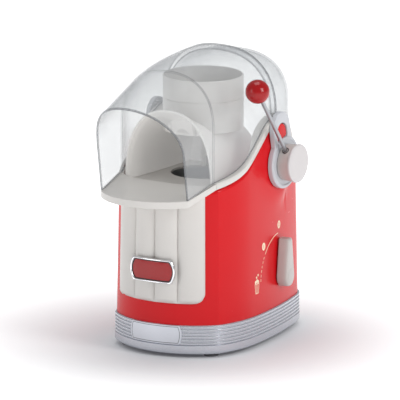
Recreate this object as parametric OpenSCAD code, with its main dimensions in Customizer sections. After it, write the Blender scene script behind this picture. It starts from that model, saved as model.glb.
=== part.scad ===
// Counter-top hot-air popcorn maker with a swing-back clear hood, a kernel hopper
// with a side lever, and a selector knob.  Millimetres, +Z up, front of the machine at -Y.
// The model is drawn around its plane of symmetry (X = 0) and the vertical front corners
// of the body (Y = 0), then shifted so that the origin is the middle of the footprint box.

/* [Body] */
// Half width between the two front corner creases, at the top of the base band
crease_half_w = 73; // [66:1:90]
// How far the front wall bulges forward of the corner creases
front_sagitta = 31; // [24:1:36]
// Outward heading of the side walls at the front corners, in degrees
side_heading = 27; // [20:1:30]
// Radius of the front half of each side wall
side_front_r = 130; // [110:1:150]
// Radius of the rear half of each side wall
side_rear_r = 560; // [450:10:700]
// Angle at which the side wall turns into the rear corner, in degrees
rear_turn = 14; // [12:0.5:16]
// Radius of the rear corners
corner_r = 45; // [35:1:52]
// Radius of the back wall
rear_r = 170; // [140:5:220]
// Height of the red shell from the base band to the hood at the front corners
shell_h = 177; // [170:1:215]
// Inward lean of the shell wall, in mm per mm of height
lean = 0.018; // [0:0.001:0.025]
// Shell wall
wall = 2.5; // [2:0.1:3.5]

/* [Base] */
// Height of the rubber feet below the band
foot_h = 4; // [3:0.5:8]
// Radius of a foot
foot_r = 9; // [7:0.5:12]
// Height of the ribbed band
band_h = 37; // [32:1:46]
// How far the band stands proud of the shell
band_proud = 2.6; // [2:0.1:4]
// Number of ribs on the band
rib_count = 6; // [4:1:7]
// Height of one rib
rib_pitch = 4.2; // [3.6:0.1:4.4]
// Thickness of the base plate
base_t = 4; // [3:0.5:6]

/* [Front] */
// Half width of the fluted front panel
panel_half_w = 61; // [54:1:62]
// Height of the panel's lower edge above the band
panel_gap = 27; // [20:1:34]
// Radius of the panel's lower corners
panel_corner_r = 14; // [8:1:20]
// How far each flute bulges out of the panel
flute_h = 5; // [3:0.5:7]
// Number of flutes
flute_count = 4; // [3:1:6]
// Badge width and height
badge_w = 64; // [50:1:74]
badge_h = 30; // [24:1:36]
// Nameplate width and height
plate_w = 72; // [56:1:80]
plate_h = 24; // [18:1:27]

/* [Hood] */
// Wall of the clear hoods
clear_t = 2.2; // [1.8:0.1:3]
// Height of the dome above the hood's seat at the front corners
dome_h = 145; // [130:1:170]
// Height of the front rim above the same level
mouth_h = 106; // [95:1:115]
// Half width of the front rim
mouth_half_w = 62; // [54:1:63]
// How far the feet of the front rim stand forward of the body's corners
mouth_reach = 56; // [45:1:66]
// Bulge of the front rim in plan
mouth_sagitta = 29; // [22:1:34]
// Forward lean of the front rim, in degrees
mouth_lean = 9; // [4:0.5:12]
// Distance of the hood's pivot line behind the front corners
axis_y = 131; // [124:1:140]
// Radius of the round side boss that the hood turns around
boss_r = 51; // [44:1:54]

/* [Tray] */
// Height of the white trim between the shell and the hoods
trim_h = 8; // [6:0.5:10]
// Depth of the trim, inwards from the shell's face
trim_w = 7; // [6:0.5:9]
// Drop of the tray from the corners to its lip
tray_drop = 12; // [6:1:18]
// Height of the tray lip
lip_h = 9; // [6:0.5:12]

/* [Lever] */
// Radius of the ball
ball_r = 15; // [11:0.5:18]
// Distance from the pivot line to the ball's centre
lever_len = 134; // [110:1:150]
// Forward lean of the lever at rest, in degrees from vertical
lever_lean = 38.4; // [20:0.5:45]
// Radius of the lever rod
rod_r = 2.6; // [2:0.1:4]
// Radius of the lever hub
hub_r = 23; // [18:0.5:26]
// Length of the lever hub
hub_len = 15; // [12:0.5:20]
// Radius of the through shaft
shaft_r = 4; // [3:0.5:6]

/* [Knob] */
// Place of the knob behind the front corners and above the band
knob_y = 134; // [110:1:150]
knob_up = 37; // [30:1:60]
// Radius of the knob's round end
knob_r = 13.3; // [11:0.5:16]
// Reach of the knob's pointer from its shaft
knob_reach = 48; // [36:1:54]
// Radius of the knob's shaft
knob_shaft_r = 3; // [2.5:0.5:4]

/* [Works] */
// Centre of the popping chamber behind the front corners
chamber_y = 86; // [80:1:92]
// Outer radius of the popping chamber
chamber_r = 42; // [36:1:44]
// Depth of the popping chamber
chamber_h = 74; // [66:1:80]
// Height of the heater duct below the chamber
duct_h = 32; // [26:1:36]
// Radius and height of the fan rotor
fan_r = 38; // [32:1:40]
fan_h = 16; // [12:1:18]
// Radius and height of the motor
motor_r = 22; // [18:1:25]
motor_h = 30; // [26:1:32]
// Radius of the hopper cup
hopper_r = 50; // [42:1:52]
// Height of the hopper cup
hopper_h = 66; // [50:1:70]

/* [Hidden] */
$fn = 48;
eps = 0.01;

// Gaps
fit_gap = 0.05;      // running fit, on the radius
seat_gap = 1;        // a moving edge above the seat it closes on
skin_gap = 0.1;      // between two fixed skins that lie on each other
slip_gap = 0.5;      // between faces that pass each other
hood_gap = 3.2;      // between the front hood and the smaller rear hood inside it

// Levels
band_top = foot_h + band_h;
plate_top = foot_h + base_t;
rim_z = band_top + shell_h;
deck_t = 3;
deck_top = rim_z - 9;
axis_z = rim_z + 5;

// Plan of the body: front arc, two side arcs, rear corner, back arc
front_r = (crease_half_w * crease_half_w + front_sagitta * front_sagitta) / (2 * front_sagitta);
front_c = [0, front_r - front_sagitta];
side_c = [crease_half_w - side_front_r * cos(side_heading), side_front_r * sin(side_heading)];
max_half_w = side_c[0] + side_front_r;
rear_c = [max_half_w - side_rear_r, side_c[1]];
corner_c = rear_c + (side_rear_r - corner_r) * [cos(rear_turn), sin(rear_turn)];
back_turn = acos(corner_c[0] / (rear_r - corner_r));
back_c = [0, corner_c[1] - (rear_r - corner_r) * sin(back_turn)];
back_y = back_c[1] + rear_r;
top_shrink = lean * shell_h;

// Side faces, from the boss outwards
boss_x = max_half_w - 2.4;
arm_x = boss_x + slip_gap;
arm_t = 6.5;
hub_x = arm_x + arm_t + slip_gap;
cap_t = 3.5;
lever_x = hub_x + hub_len / 2;
bush_r = 10;
trim_r = boss_r + trim_h;

// Clear hoods
junction_half_w = crease_half_w - top_shrink - 3.3;
seam_half_w = boss_x - 3.8;
dome_z = rim_z + 66;
dome_rise = rim_z + dome_h - dome_z;
seam_y = axis_y - 4;
mouth_top = rim_z + mouth_h;
mouth_z = rim_z - tray_drop;
mouth_front = -mouth_reach - mouth_sagitta;
mouth_r = (mouth_half_w * mouth_half_w + mouth_sagitta * mouth_sagitta) / (2 * mouth_sagitta);

// Works, hung under the deck
chamber_top = deck_top - deck_t;
chamber_z = chamber_top - chamber_h;
duct_z = chamber_z - duct_h;
blower_h = fan_h + 8;
blower_z = duct_z - blower_h;
motor_z = blower_z - motor_h;
bracket_t = 2.5;
hopper_z = rim_z + 49;
drum_r = 12;
drum_half = 15;

// Shift from the drawing frame to the origin of the footprint box
x_hi = lever_x + ball_r;
x_lo = -(hub_x + 6);
y_lo = mouth_front - (mouth_top - mouth_z) * tan(mouth_lean);
y_hi = back_y + band_proud;
shift = [-(x_hi + x_lo) / 2, -(y_lo + y_hi) / 2, 0];

// Colours
red = "#d0222b";
off_white = "#dedbd6";
light_grey = "#cfcdcb";
silver = "#b9bcc2";
clear = [0.9, 0.93, 0.95, 0.35];

// ---- shared shapes -------------------------------------------------------

function arc(c, r, a0, a1, n) = [for (i = [0:n])
    c + r * [cos(a0 + (a1 - a0) * i / n), sin(a0 + (a1 - a0) * i / n)]];

// Angle on the first circle where it meets the second one, on the +X side
function meet_angle(c1, r1, c2, r2) =
    let (d = norm(c2 - c1), base = atan2(c2[1] - c1[1], c2[0] - c1[0]),
         half = acos((d * d + r1 * r1 - r2 * r2) / (2 * d * r1)))
    cos(base + half) > cos(base - half) ? base + half : base - half;

// Right half of the body's plan, moved inwards by d, from the front middle to the back middle
function half_plan(d) =
    let (a_front = meet_angle(front_c, front_r - d, side_c, side_front_r - d),
         a_side = meet_angle(side_c, side_front_r - d, front_c, front_r - d))
    concat(arc(front_c, front_r - d, -90, a_front - 360 * ceil((a_front - 90) / 360), 12),
        [for (i = [1:6]) let (a = a_side * (1 - i / 6)) side_c + (side_front_r - d) * [cos(a), sin(a)]],
        [for (p = arc(rear_c, side_rear_r - d, rear_turn / 6, rear_turn, 5)) p],
        [for (p = arc(corner_c, corner_r - d, rear_turn + (back_turn - rear_turn) / 7, back_turn, 6)) p],
        [for (p = arc(back_c, rear_r - d, back_turn + (90 - back_turn) / 3, 90, 2)) p]);

function plan(d) = let (h = half_plan(d), n = len(h))
    concat(h, [for (i = [n - 2:-1:1]) [-h[i][0], h[i][1]]]);

// Closed tube of rings with the same number of points, capped at both ends
module skin(rings) {
    n = len(rings[0]);
    m = len(rings);
    sides = [for (j = [0:m - 2]) for (i = [0:n - 1]) let (k = (i + 1) % n)
        each [[j * n + i, j * n + k, (j + 1) * n + k], [j * n + i, (j + 1) * n + k, (j + 1) * n + i]]];
    polyhedron(points = [for (r = rings) each r],
        faces = concat([for (f = sides) [f[2], f[1], f[0]]],
            [[for (i = [0:n - 1]) i]], [[for (i = [n - 1:-1:0]) (m - 1) * n + i]]));
}

// Solid between two grids of points (rows of equal length), one lying over the other
module sheet(over, under) {
    n = len(over[0]);
    m = len(over);
    s = m * n;
    top = [for (j = [0:m - 2]) for (i = [0:n - 2]) let (a = j * n + i)
        each [[a, a + n, a + n + 1], [a, a + n + 1, a + 1]]];
    ends = [for (i = [0:n - 2]) for (a = [i, (m - 1) * n + i])
        each (a < n ? [[a, a + 1, s + a + 1], [a, s + a + 1, s + a]]
                    : [[a, s + a + 1, a + 1], [a, s + a, s + a + 1]])];
    rims = [for (j = [0:m - 2]) for (a = [j * n, j * n + n - 1])
        each (a % n == 0 ? [[a, s + a, s + a + n], [a, s + a + n, a + n]]
                         : [[a, a + n, s + a + n], [a, s + a + n, s + a]])];
    polyhedron(points = concat([for (r = over) each r], [for (r = under) each r]),
        faces = concat(top, [for (f = top) [s + f[2], s + f[1], s + f[0]]], ends, rims));
}

// The body's tapering outline as a solid, moved inwards by d
module body_solid(d, z0, z1) {
    levels = concat([z0], [for (z = [band_top, rim_z]) if (z > z0) z], [z1]);
    skin([for (z = levels) let (in = d + lean * min(max(z - band_top, 0), shell_h))
        [for (p = plan(in)) [p[0], p[1], z]]]);
}

// A YZ outline drawn right through the machine
module side_cut(points) {
    rotate([90, 0, 90]) linear_extrude(4 * crease_half_w, center = true) polygon(points);
}

// A round along X
module x_rod(x0, x1, r, y = axis_y, z = axis_z) {
    translate([x0, y, z]) rotate([0, 90, 0]) cylinder(h = x1 - x0, r = r);
}

// Upper edge of the trim in side view: tray side, sweep up to the boss, round it, back edge
function bezier(p, n) = [for (i = [0:n]) let (t = i / n, u = 1 - t)
    u * u * u * p[0] + 3 * u * u * t * p[1] + 3 * u * t * t * p[2] + t * t * t * p[3]];
join_angle = 50;
function round_boss(r, a) = [axis_y - r * cos(a), axis_z + r * sin(a)];
function edge_curve(drop) =
    let (r = trim_r - drop, p3 = round_boss(r, join_angle), p0 = [0, rim_z - drop],
         p1 = p0 + 0.27 * axis_y * [cos(12), sin(12)],
         p2 = p3 - 0.3 * axis_y * [sin(join_angle), cos(join_angle)])
    concat(bezier([p0, p1, p2, p3], 12),
        [for (a = [join_angle + 10:10:180]) round_boss(r, a)], [[axis_y + r, axis_z - drop]]);
function edge_z(y) = let (e = edge_curve(0),
        k = [for (i = [0:len(e) - 2]) if (e[i][0] <= y && y <= e[i + 1][0]) i][0],
        t = (y - e[k][0]) / (e[k + 1][0] - e[k][0]))
    y <= 0 ? rim_z + tray_drop * y / mouth_reach : e[k][1] + t * (e[k + 1][1] - e[k][1]);

// ---- base ----------------------------------------------------------------

foot_spots = [for (sx = [-1, 1]) each
    [[sx * crease_half_w * 0.8, 6], [sx * crease_half_w * 0.62, back_y - 44]]];
screw_r = 1.9;

module base_plate() color("#2b2b2d") difference() {
    translate([0, 0, foot_h]) linear_extrude(base_t) polygon(plan(wall + 0.3));
    for (i = [-4:4])
        translate([i * 9, chamber_y, foot_h - eps])
            linear_extrude(base_t + 2 * eps) square([4, 62 - abs(i) * 5], center = true);
    for (p = foot_spots)
        translate([p[0], p[1], foot_h - eps]) cylinder(h = base_t + 2 * eps, r = screw_r + 0.2);
}

module feet() color("#3a3a3c") for (p = foot_spots) translate([p[0], p[1], 0]) difference() {
    cylinder(h = foot_h, r = foot_r);
    cylinder(h = foot_h + eps, r = screw_r + 0.2);
    translate([0, 0, -eps]) cylinder(h = 1.9, r = screw_r + 2.2);
}

module base_screws() color(silver) for (p = foot_spots) translate([p[0], p[1], 0.3]) {
    cylinder(h = 1.5, r = screw_r + 1.8);
    cylinder(h = foot_h + base_t + 5, r = screw_r);
}

band_edge_r = 5;
module base_band() color(silver) difference() {
    union() {
        skin([for (a = [0:15:90]) let (d = band_edge_r * (1 - sin(a)) - band_proud)
            [for (p = plan(d)) [p[0], p[1], foot_h + band_edge_r * (1 - cos(a))]]]);
        translate([0, 0, foot_h + band_edge_r - eps])
            linear_extrude(band_h - rib_count * rib_pitch - band_edge_r + eps)
            polygon(plan(-band_proud));
        for (i = [0:rib_count - 1])
            translate([0, 0, band_top - (i + 1) * rib_pitch]) {
                linear_extrude(rib_pitch) polygon(plan(-band_proud + 1.2));
                translate([0, 0, 0.8]) linear_extrude(rib_pitch - 0.8) polygon(plan(-band_proud));
            }
    }
    translate([0, 0, foot_h - eps]) linear_extrude(band_h + 1) polygon(plan(-skin_gap));
    x_gland_cut();
}

// Straight top and bottom, bowed ends
module plate_outline() {
    bow_r = 25;
    intersection() {
        square([plate_w, plate_h], center = true);
        for (s = [-1, 1]) translate([s * (plate_w / 2 - bow_r), 0]) circle(r = bow_r, $fn = 180);
    }
}

module nameplate() color("#c4c7cc") intersection() {
    translate([0, 0, band_top - plate_h / 2 - 0.2]) rotate([90, 0, 0])
        linear_extrude(front_sagitta + 30) plate_outline();
    translate([0, 0, foot_h]) linear_extrude(band_h) difference() {
        polygon(plan(-band_proud - 1));
        polygon(plan(-band_proud));
    }
}

// ---- shell and front -----------------------------------------------------

module above_edge(drop) {
    e = edge_curve(drop);
    end = [axis_y + 300, e[len(e) - 1][1]];
    side_cut(concat([[-300, e[0][1]]], e, [end, [end[0], 600], [-300, 600]]));
}

knob_turn = asin((knob_y - side_c[1]) / side_rear_r);
knob_z = band_top + knob_up;
knob_face = max_half_w - side_rear_r * (1 - cos(knob_turn)) - lean * knob_up;

// Places children on the right wall at the knob, +Z pointing out of the wall
module at_knob() {
    translate([knob_face, knob_y, knob_z]) rotate([0, 0, knob_turn]) rotate([0, 90, 0]) children();
}

boss_rim = 11;
module boss(s) {
    x0 = boss_x - 3;
    mirror([s < 0 ? 1 : 0, 0, 0]) difference() {
        union() {
            x_rod(x0, boss_x, boss_r);
            difference() {
                x_rod(boss_x - boss_rim, boss_x, boss_r);
                x_rod(boss_x - boss_rim - 1, boss_x, boss_r - 3);
            }
        }
        x_rod(x0 - 1, boss_x + 1, bush_r);
    }
}

module red_shell() color(red) {
    difference() {
        body_solid(0, plate_top, rim_z + 80);
        translate([0, 0, -eps]) body_solid(wall, plate_top - 1, rim_z + 82);
        above_edge(trim_h);
        translate([-crease_half_w, -80, rim_z - tray_drop - lip_h - 2])
            cube([2 * crease_half_w, 80 + slip_gap, 200]);
        for (s = [-1, 1]) mirror([s < 0 ? 1 : 0, 0, 0]) x_rod(40, 130, boss_r - 1.4);
        at_knob() translate([0, 0, -10]) cylinder(h = 20, r = knob_shaft_r + 1);
        x_gland_cut();
    }
    boss(1);
    boss(-1);
}

gland_z = plate_top + 12;
gland_r = 7;
module x_gland_cut() {
    translate([0, back_y + 10, gland_z]) rotate([90, 0, 0]) cylinder(h = 30, r = gland_r);
}

module cord_gland() color("#2b2b2d")
translate([0, back_y + band_proud, gland_z]) rotate([90, 0, 0]) difference() {
    union() {
        cylinder(h = 8, r = gland_r);
        translate([0, 0, band_proud + wall + 0.4]) cylinder(h = 3, r = gland_r + 3);
    }
    translate([0, 0, -1]) cylinder(h = 12, r = 3.6);
}

// Front face of the panel, one convex arc per flute
function flute_line(d) = let (n = flute_count, m = 8, w = panel_half_w)
    [for (i = [0:n * m]) let (x = -w + 2 * w * i / (n * m), t = (i % m) / m,
        bulge = flute_h * sqrt(max(0, 1 - pow(2 * t - 1, 2))) * (i % m == 0 ? 0 : 1),
        r = front_r + 1.5 + bulge - d, a = asin(x / (front_r + 1.5)))
        front_c + r * [sin(a), -cos(a)]];

module front_panel() color(off_white) intersection() {
    z0 = band_top + panel_gap;
    z1 = rim_z - tray_drop - lip_h;
    edge_turn = asin(panel_half_w / (front_r + 1.5));
    skin([for (z = [z0, z1]) let (d = lean * (z - band_top))
        [for (p = concat(flute_line(d),
                arc(front_c, front_r + 0.1 - d, edge_turn - 90, -edge_turn - 90, 16)))
            [p[0], p[1], z]]]);
    inner = panel_half_w - panel_corner_r;
    rotate([90, 0, 0]) linear_extrude(200) polygon(concat(
        arc([-inner, z0 + panel_corner_r], panel_corner_r - eps, 180, 270, 8),
        arc([inner, z0 + panel_corner_r], panel_corner_r - eps, 270, 360, 8),
        [[panel_half_w - eps, z1 + 5], [eps - panel_half_w, z1 + 5]]));
}

badge_z = band_top + panel_gap + 41;
badge_y = -front_sagitta - 1.5 - flute_h;
badge_bend = 1.6;   // the badge is bent to a wider curve than the front wall

// Barrel outline: straight top and bottom, bowed ends
module badge_outline(grow) {
    h = badge_h / 2 + grow;
    w = badge_w / 2 + grow;
    bow = badge_h * 0.16;
    r = (h * h + bow * bow) / (2 * bow);
    intersection() {
        square([2 * w, 2 * h], center = true);
        for (s = [-1, 1]) translate([s * (w - r), 0]) circle(r = r, $fn = 120);
    }
}

module badge_slab(grow, y0, y1) {
    bend_r = front_r * badge_bend;
    intersection() {
        translate([0, 0, badge_z]) rotate([90, 0, 0]) linear_extrude(200) badge_outline(grow);
        translate([0, badge_y + bend_r, badge_z - badge_h]) difference() {
            cylinder(h = 2 * badge_h, r = bend_r - y0, $fn = 180);
            translate([0, 0, -1]) cylinder(h = 2 * badge_h + 2, r = bend_r - y1, $fn = 180);
        }
    }
}

module badge_rim() color(silver) difference() {
    badge_slab(0, -3.4, 1.2);
    badge_slab(-3, -4, -1);
}

module badge_inlay() color("#a5161d") badge_slab(-3.1, -2.8, -1);

// ---- tray, trim and chute ------------------------------------------------

function mouth_y(x) = mouth_front + mouth_r - sqrt(mouth_r * mouth_r - x * x);

module chute_tray() color(off_white) {
    cols = 16;
    rows = 8;
    side_w = crease_half_w - top_shrink;
    dip = 3;
    over = [for (j = [0:rows]) let (v = j / rows, hw = mouth_half_w + (side_w - mouth_half_w) * v)
        [for (i = [0:cols]) let (u = 2 * i / cols - 1, x = hw * u,
            y = mouth_y(mouth_half_w * u) * (1 - v),
            z = rim_z - tray_drop * (1 - v) - (dip * sin(180 * v / 2) + 6 * v) * (1 - u * u * u * u))
            [x, y, z]]];
    under_z = rim_z - tray_drop - lip_h + 0.6;
    under = [for (r = over) [for (p = r) [p[0], p[1], under_z + 3 * min(1, (p[1] - mouth_front) / 60)]]];
    difference() {
        union() {
            sheet(over, under);
            translate([0, 0, deck_top - deck_t]) linear_extrude(deck_t) difference() {
                polygon(plan(wall + top_shrink + 0.6));
                translate([-200, -100]) square([400, 100 - 0.2]);
            }
        }
        translate([0, chamber_y, 0]) cylinder(h = 400, r = chamber_r - 2);
        for (s = [-1, 1]) mirror([s < 0 ? 1 : 0, 0, 0])
            x_rod(boss_x - boss_rim - skin_gap, boss_x + 1, boss_r + skin_gap);
        front_panel_room();
    }
}

// Room kept under the tray for the top of the front panel
module front_panel_room() {
    translate([-150, -60, 0]) cube([300, 60, rim_z - tray_drop - lip_h + 0.5]);
}

module trim_ring() color(off_white) difference() {
    union() {
        intersection() {
            difference() {
                body_solid(0, rim_z - 30, rim_z + 80);
                body_solid(trim_w, rim_z - 31, rim_z + 81);
            }
            translate([-200, 0.1, 0]) cube([400, 400, 400]);
        }
        for (s = [-1, 1]) mirror([s < 0 ? 1 : 0, 0, 0]) difference() {
            x_rod(boss_x - 9, boss_x, trim_r);
            x_rod(boss_x - 10, boss_x + 1, boss_r);
        }
    }
    above_edge(0);
    below_edge(trim_h);
    for (s = [-1, 1]) mirror([s < 0 ? 1 : 0, 0, 0]) x_rod(40, 130, boss_r);
}

module below_edge(drop) {
    e = edge_curve(drop);
    end = [axis_y + 300, e[len(e) - 1][1]];
    side_cut(concat([[-300, e[0][1]]], e, [end, [end[0], -10], [-300, -10]]));
}

chute_half_w = junction_half_w - clear_t - 3.5;
function chute_ring(y, w, top, z0) = [for (i = [20:-1:0]) let (a = 180 * i / 20, c = cos(a))
    [w * sign(c) * pow(abs(c), 0.85), y, z0 + (top - z0) * pow(sin(a), 0.85)]];

// Cowl over the chamber: an arch at the front that draws in to the hopper's width at the back
module chute_solid(d, y1, y2, z0) {
    back = chamber_y + hopper_r + 1.5;
    skin([for (j = [0:8]) let (y = y1 + (y2 - y1) * j / 8, f = pow(max(0, (back - y) / (back - 2)), 2))
        chute_ring(y, hopper_r - d + (chute_half_w - hopper_r) * f, hopper_z - 0.2 - d + 34 * f, z0)]);
}

module inner_chute() color(off_white) difference() {
    back = chamber_y + hopper_r + 1.5;
    chute_solid(0, 2, back, deck_top + 0.2);
    chute_solid(3, 1, back - 3, deck_top - 1);
    translate([0, chamber_y, hopper_z - skin_gap]) cylinder(h = 200, r = hopper_r + skin_gap);
    translate([-drum_half - 4.3, axis_y - drum_r - 5.3, 0]) cube([2 * drum_half + 8.6, 60, 400]);
    x_rod(-100, 100, shaft_r + 1);
}

module hopper_cup() color(off_white) translate([0, chamber_y, hopper_z]) difference() {
    cylinder(h = hopper_h, r = hopper_r);
    translate([0, 0, 3]) cylinder(h = hopper_h, r = hopper_r - 2.5);
    translate([-drum_half + 1, axis_y - chamber_y - drum_r + 2, -1]) cube([2 * drum_half - 2, 16, 6]);
}

// Square throat that carries kernels from the hopper to the drum and on to the chamber
module feed_throat() color(light_grey) difference() {
    translate([-drum_half - 4, axis_y - drum_r - 5, deck_top + 0.2])
        cube([2 * drum_half + 8, 2 * drum_r + 8, hopper_z - deck_top - 0.4]);
    x_rod(-drum_half - slip_gap, drum_half + slip_gap, drum_r + 1);
    x_rod(-60, 60, shaft_r + fit_gap);
    translate([-drum_half + 2, axis_y - drum_r + 2, axis_z]) cube([2 * drum_half - 4, 14, 60]);
    translate([-drum_half + 2, axis_y - drum_r - 6, deck_top - 1])
        cube([2 * drum_half - 4, 14, axis_z - deck_top]);
}

// ---- hoods ---------------------------------------------------------------

arch_n = 24;     // facets across an arch
leg_n = 4;       // facets up each straight leg
// Arch with upright legs: half width w, spring height zs, rise b, foot height zf
function arch(w, zs, b, zf, e) = concat(
    [for (i = [0:leg_n - 1]) [w, zf + (zs - zf) * i / leg_n]],
    [for (i = [0:arch_n]) let (a = 180 * i / arch_n, c = cos(a))
        [w * sign(c) * pow(abs(c), 2 / e), zs + b * pow(sin(a), 2 / e)]],
    [for (i = [leg_n - 1:-1:0]) [-w, zf + (zs - zf) * i / leg_n]]);

function hood_half_w(y) = let (t = min(1, y / (0.65 * axis_y)))
    seam_half_w - (seam_half_w - junction_half_w) * pow(1 - t, 2.2);

// Cross section of the dome behind the front corners
function dome_row(y, d) = let (top = dome_rise - 10.5 * (1 - sin(90 * min(1, y / seam_y))))
    [for (p = arch(hood_half_w(y) - d, dome_z, top - d, edge_z(y) + seat_gap, 2.35)) [p[0], y, p[1]]];

// Front rim, bulged in plan and leaning forward
function rim_row(d) = let (zs = mouth_top - mouth_half_w)
    [for (p = arch(mouth_half_w - d, zs, mouth_half_w - d, mouth_z + seat_gap, 2.15))
        [p[0], mouth_y(p[0]) - (p[1] - mouth_z) * tan(mouth_lean), p[1]]];

function hood_rows(d) = let (rim = rim_row(d), jn = dome_row(0, d))
    concat([for (k = [0:3]) rim + (jn - rim) * k / 4],
        [for (k = [0:12]) dome_row(seam_y * k / 12, d)]);

module front_hood() color(clear) sheet(hood_rows(0), hood_rows(clear_t));

// Quarter dome: the plan behind the seam, shrinking towards the crown
rear_in = hood_gap + clear_t;
rear_w = seam_half_w - rear_in;
rear_rise = dome_rise - rear_in;
rear_y = seam_y - 3;
function rear_plan(d) = let (h = [for (p = half_plan(max_half_w - rear_w + d)) if (p[1] > rear_y + 3) p])
    concat([[rear_w - d, rear_y]], h, [for (i = [len(h) - 2:-1:0]) [-h[i][0], h[i][1]]],
        [[-rear_w + d, rear_y]]);
function rear_row(s, z, d) = [for (p = rear_plan(d)) [p[0] * s, rear_y + (p[1] - rear_y) * s, z]];
function rear_rows(d) = concat(
    [rear_row(1, axis_z + skin_gap, d), rear_row(1, dome_z, d)],
    [for (k = [1:11]) let (a = 90 * k / 12)
        rear_row(pow(cos(a), 0.87), dome_z + (rear_rise - d) * pow(sin(a), 0.87), d)],
    [rear_row(0.04, dome_z + rear_rise - d, d)]);

module rear_hood() color(clear) difference() {
    sheet(rear_rows(0), rear_rows(clear_t));
    x_rod(-200, 200, trim_r + skin_gap);
}

// ---- hood arms -----------------------------------------------------------

arm_r = 33;
arm_tip = trim_r + 7;
arm_half = 20;
arm_lean = 12;
window_half = 11.5;
window_top = 51;
window_h = 20;

module at_axis(s) {
    mirror([s < 0 ? 1 : 0, 0, 0]) translate([arm_x, axis_y, axis_z])
        rotate([arm_lean, 0, 0]) rotate([90, 0, 90]) children();
}

module window(grow) {
    translate([0, window_top - window_half]) circle(r = window_half + grow);
    translate([-window_half - grow, window_top - window_h - grow])
        square([2 * window_half + 2 * grow, window_h - window_half + grow]);
}

module arm_outline() {
    circle(r = arm_r, $fn = 96);
    hull() {
        translate([0, arm_tip - arm_half]) circle(r = arm_half, $fn = 64);
        translate([-arm_half, 0]) square([2 * arm_half, 1]);
    }
}

module hood_arm(s) color(light_grey) at_axis(s) difference() {
    union() {
        linear_extrude(arm_t) arm_outline();
        translate([0, 0, seam_half_w - arm_x]) linear_extrude(arm_x - seam_half_w + eps) intersection() {
            arm_outline();
            translate([-9, trim_r + 1.5]) square([21, 30]);
        }
    }
    translate([0, 0, -1]) cylinder(h = arm_t + 2, r = bush_r + fit_gap);
    translate([0, 0, 2]) linear_extrude(arm_t) window(0);
    for (x = screw_spots) translate([x, arm_tip - 3, -6]) cylinder(h = arm_t + 4.5, r = 1);
}
screw_spots = [-3, 5];

module arm_inlay(s) color(red) at_axis(s) translate([0, 0, 2]) linear_extrude(arm_t - 3.5) window(-0.1);

module arm_screws() color(silver) for (s = [-1, 1]) at_axis(s) for (x = screw_spots)
    translate([x, arm_tip - 3, seam_half_w - arm_x]) cylinder(h = 6, r = 1);

module pivot_bush(s) color("#e9e7e2") mirror([s < 0 ? 1 : 0, 0, 0]) difference() {
    union() {
        x_rod(boss_x - 9, arm_x + arm_t + 0.3, bush_r);
        x_rod(boss_x - 6, boss_x - 3, bush_r + 5);
    }
    x_rod(boss_x - 10, hub_x, shaft_r + fit_gap);
}

module pivot_cap_left() color(light_grey) mirror([1, 0, 0]) {
    x_rod(hub_x, hub_x + 6, hub_r);
    x_rod(boss_x - 9, hub_x, shaft_r);
}

// ---- lever ---------------------------------------------------------------

module along_lever() {
    translate([lever_x, axis_y, axis_z]) rotate([lever_lean, 0, 0]) children();
}

module lever_hub() color(light_grey) difference() {
    x_rod(hub_x, hub_x + hub_len, hub_r);
    x_rod(hub_x - 1, hub_x + hub_len - 3, shaft_r);
    along_lever() translate([0, 0, hub_r - 9]) cylinder(h = 20, r = rod_r);
}

module lever_cap() color("#e6e4e2") x_rod(hub_x + hub_len, hub_x + hub_len + cap_t, hub_r + 1);

module lever_rod() color("#8d8f94") along_lever() translate([0, 0, hub_r - 9])
    cylinder(h = lever_len - hub_r + 9 - 3, r = rod_r);

module lever_ball() color("#b5121b") along_lever() difference() {
    translate([0, 0, lever_len]) sphere(r = ball_r, $fn = 64);
    cylinder(h = lever_len - 3, r = rod_r);
}

module lever_shaft() color(silver) x_rod(-drum_half - 12, hub_x + hub_len - 3, shaft_r);

module metering_drum() color("#e9e7e2") difference() {
    x_rod(-drum_half, drum_half, drum_r);
    x_rod(-drum_half - 1, drum_half + 1, shaft_r);
    for (s = [-1, 1])
        translate([s * 5.5 - 4, axis_y - 5, axis_z + 5]) cube([8, 10, 20]);
}

spring_x = boss_x - 34;
module return_spring() color(silver) translate([spring_x, axis_y, axis_z]) rotate([0, 90, 0])
    for (i = [0:5]) translate([0, 0, i * 2]) wire_ring(shaft_r + 3);

// One turn of wire
module wire_ring(r) {
    rotate_extrude() translate([r, 0]) circle(r = 0.8, $fn = 16);
}

// ---- works ---------------------------------------------------------------

module popping_chamber() color("#c9ccd0") translate([0, chamber_y, chamber_z]) difference() {
    union() {
        cylinder(h = chamber_h - 0.2, r = chamber_r);
        translate([0, 0, chamber_h - 6]) cylinder(h = 2, r = chamber_r + 6);
    }
    translate([0, 0, 3]) cylinder(h = chamber_h, r = chamber_r - 2);
    for (i = [0:15]) rotate(i * 22.5) translate([chamber_r - 14, 0, -1])
        linear_extrude(6) square([9, 3], center = true);
}

module chamber_seal() color("#b8472f") translate([0, chamber_y, chamber_top - 4]) difference() {
    cylinder(h = 4, r = chamber_r + 4);
    translate([0, 0, -1]) cylinder(h = 6, r = chamber_r);
}

duct_r = chamber_r - 6;
module heater_duct() color("#a9acb0") translate([0, chamber_y, duct_z]) difference() {
    cylinder(h = duct_h, r = duct_r);
    translate([0, 0, -1]) cylinder(h = duct_h + 2, r = duct_r - 1.5);
}

module mica_frame() color("#c8b58a")
translate([0, chamber_y, duct_z + 3]) for (a = [0, 90]) rotate(a) difference() {
    translate([-duct_r + 2, -0.5, 0]) cube([2 * duct_r - 4, 1, duct_h - 6]);
    translate([-0.6, -1, a == 0 ? -1 : duct_h / 2 - 3]) cube([1.2, 2, duct_h / 2 - 2]);
    for (i = [0:4]) for (r = [14, 24]) for (s = [-1, 1])
        translate([s * r, -1, 3 + i * 4.6]) rotate([-90, 0, 0]) cylinder(h = 2, r = 1.1, $fn = 16);
}

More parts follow.
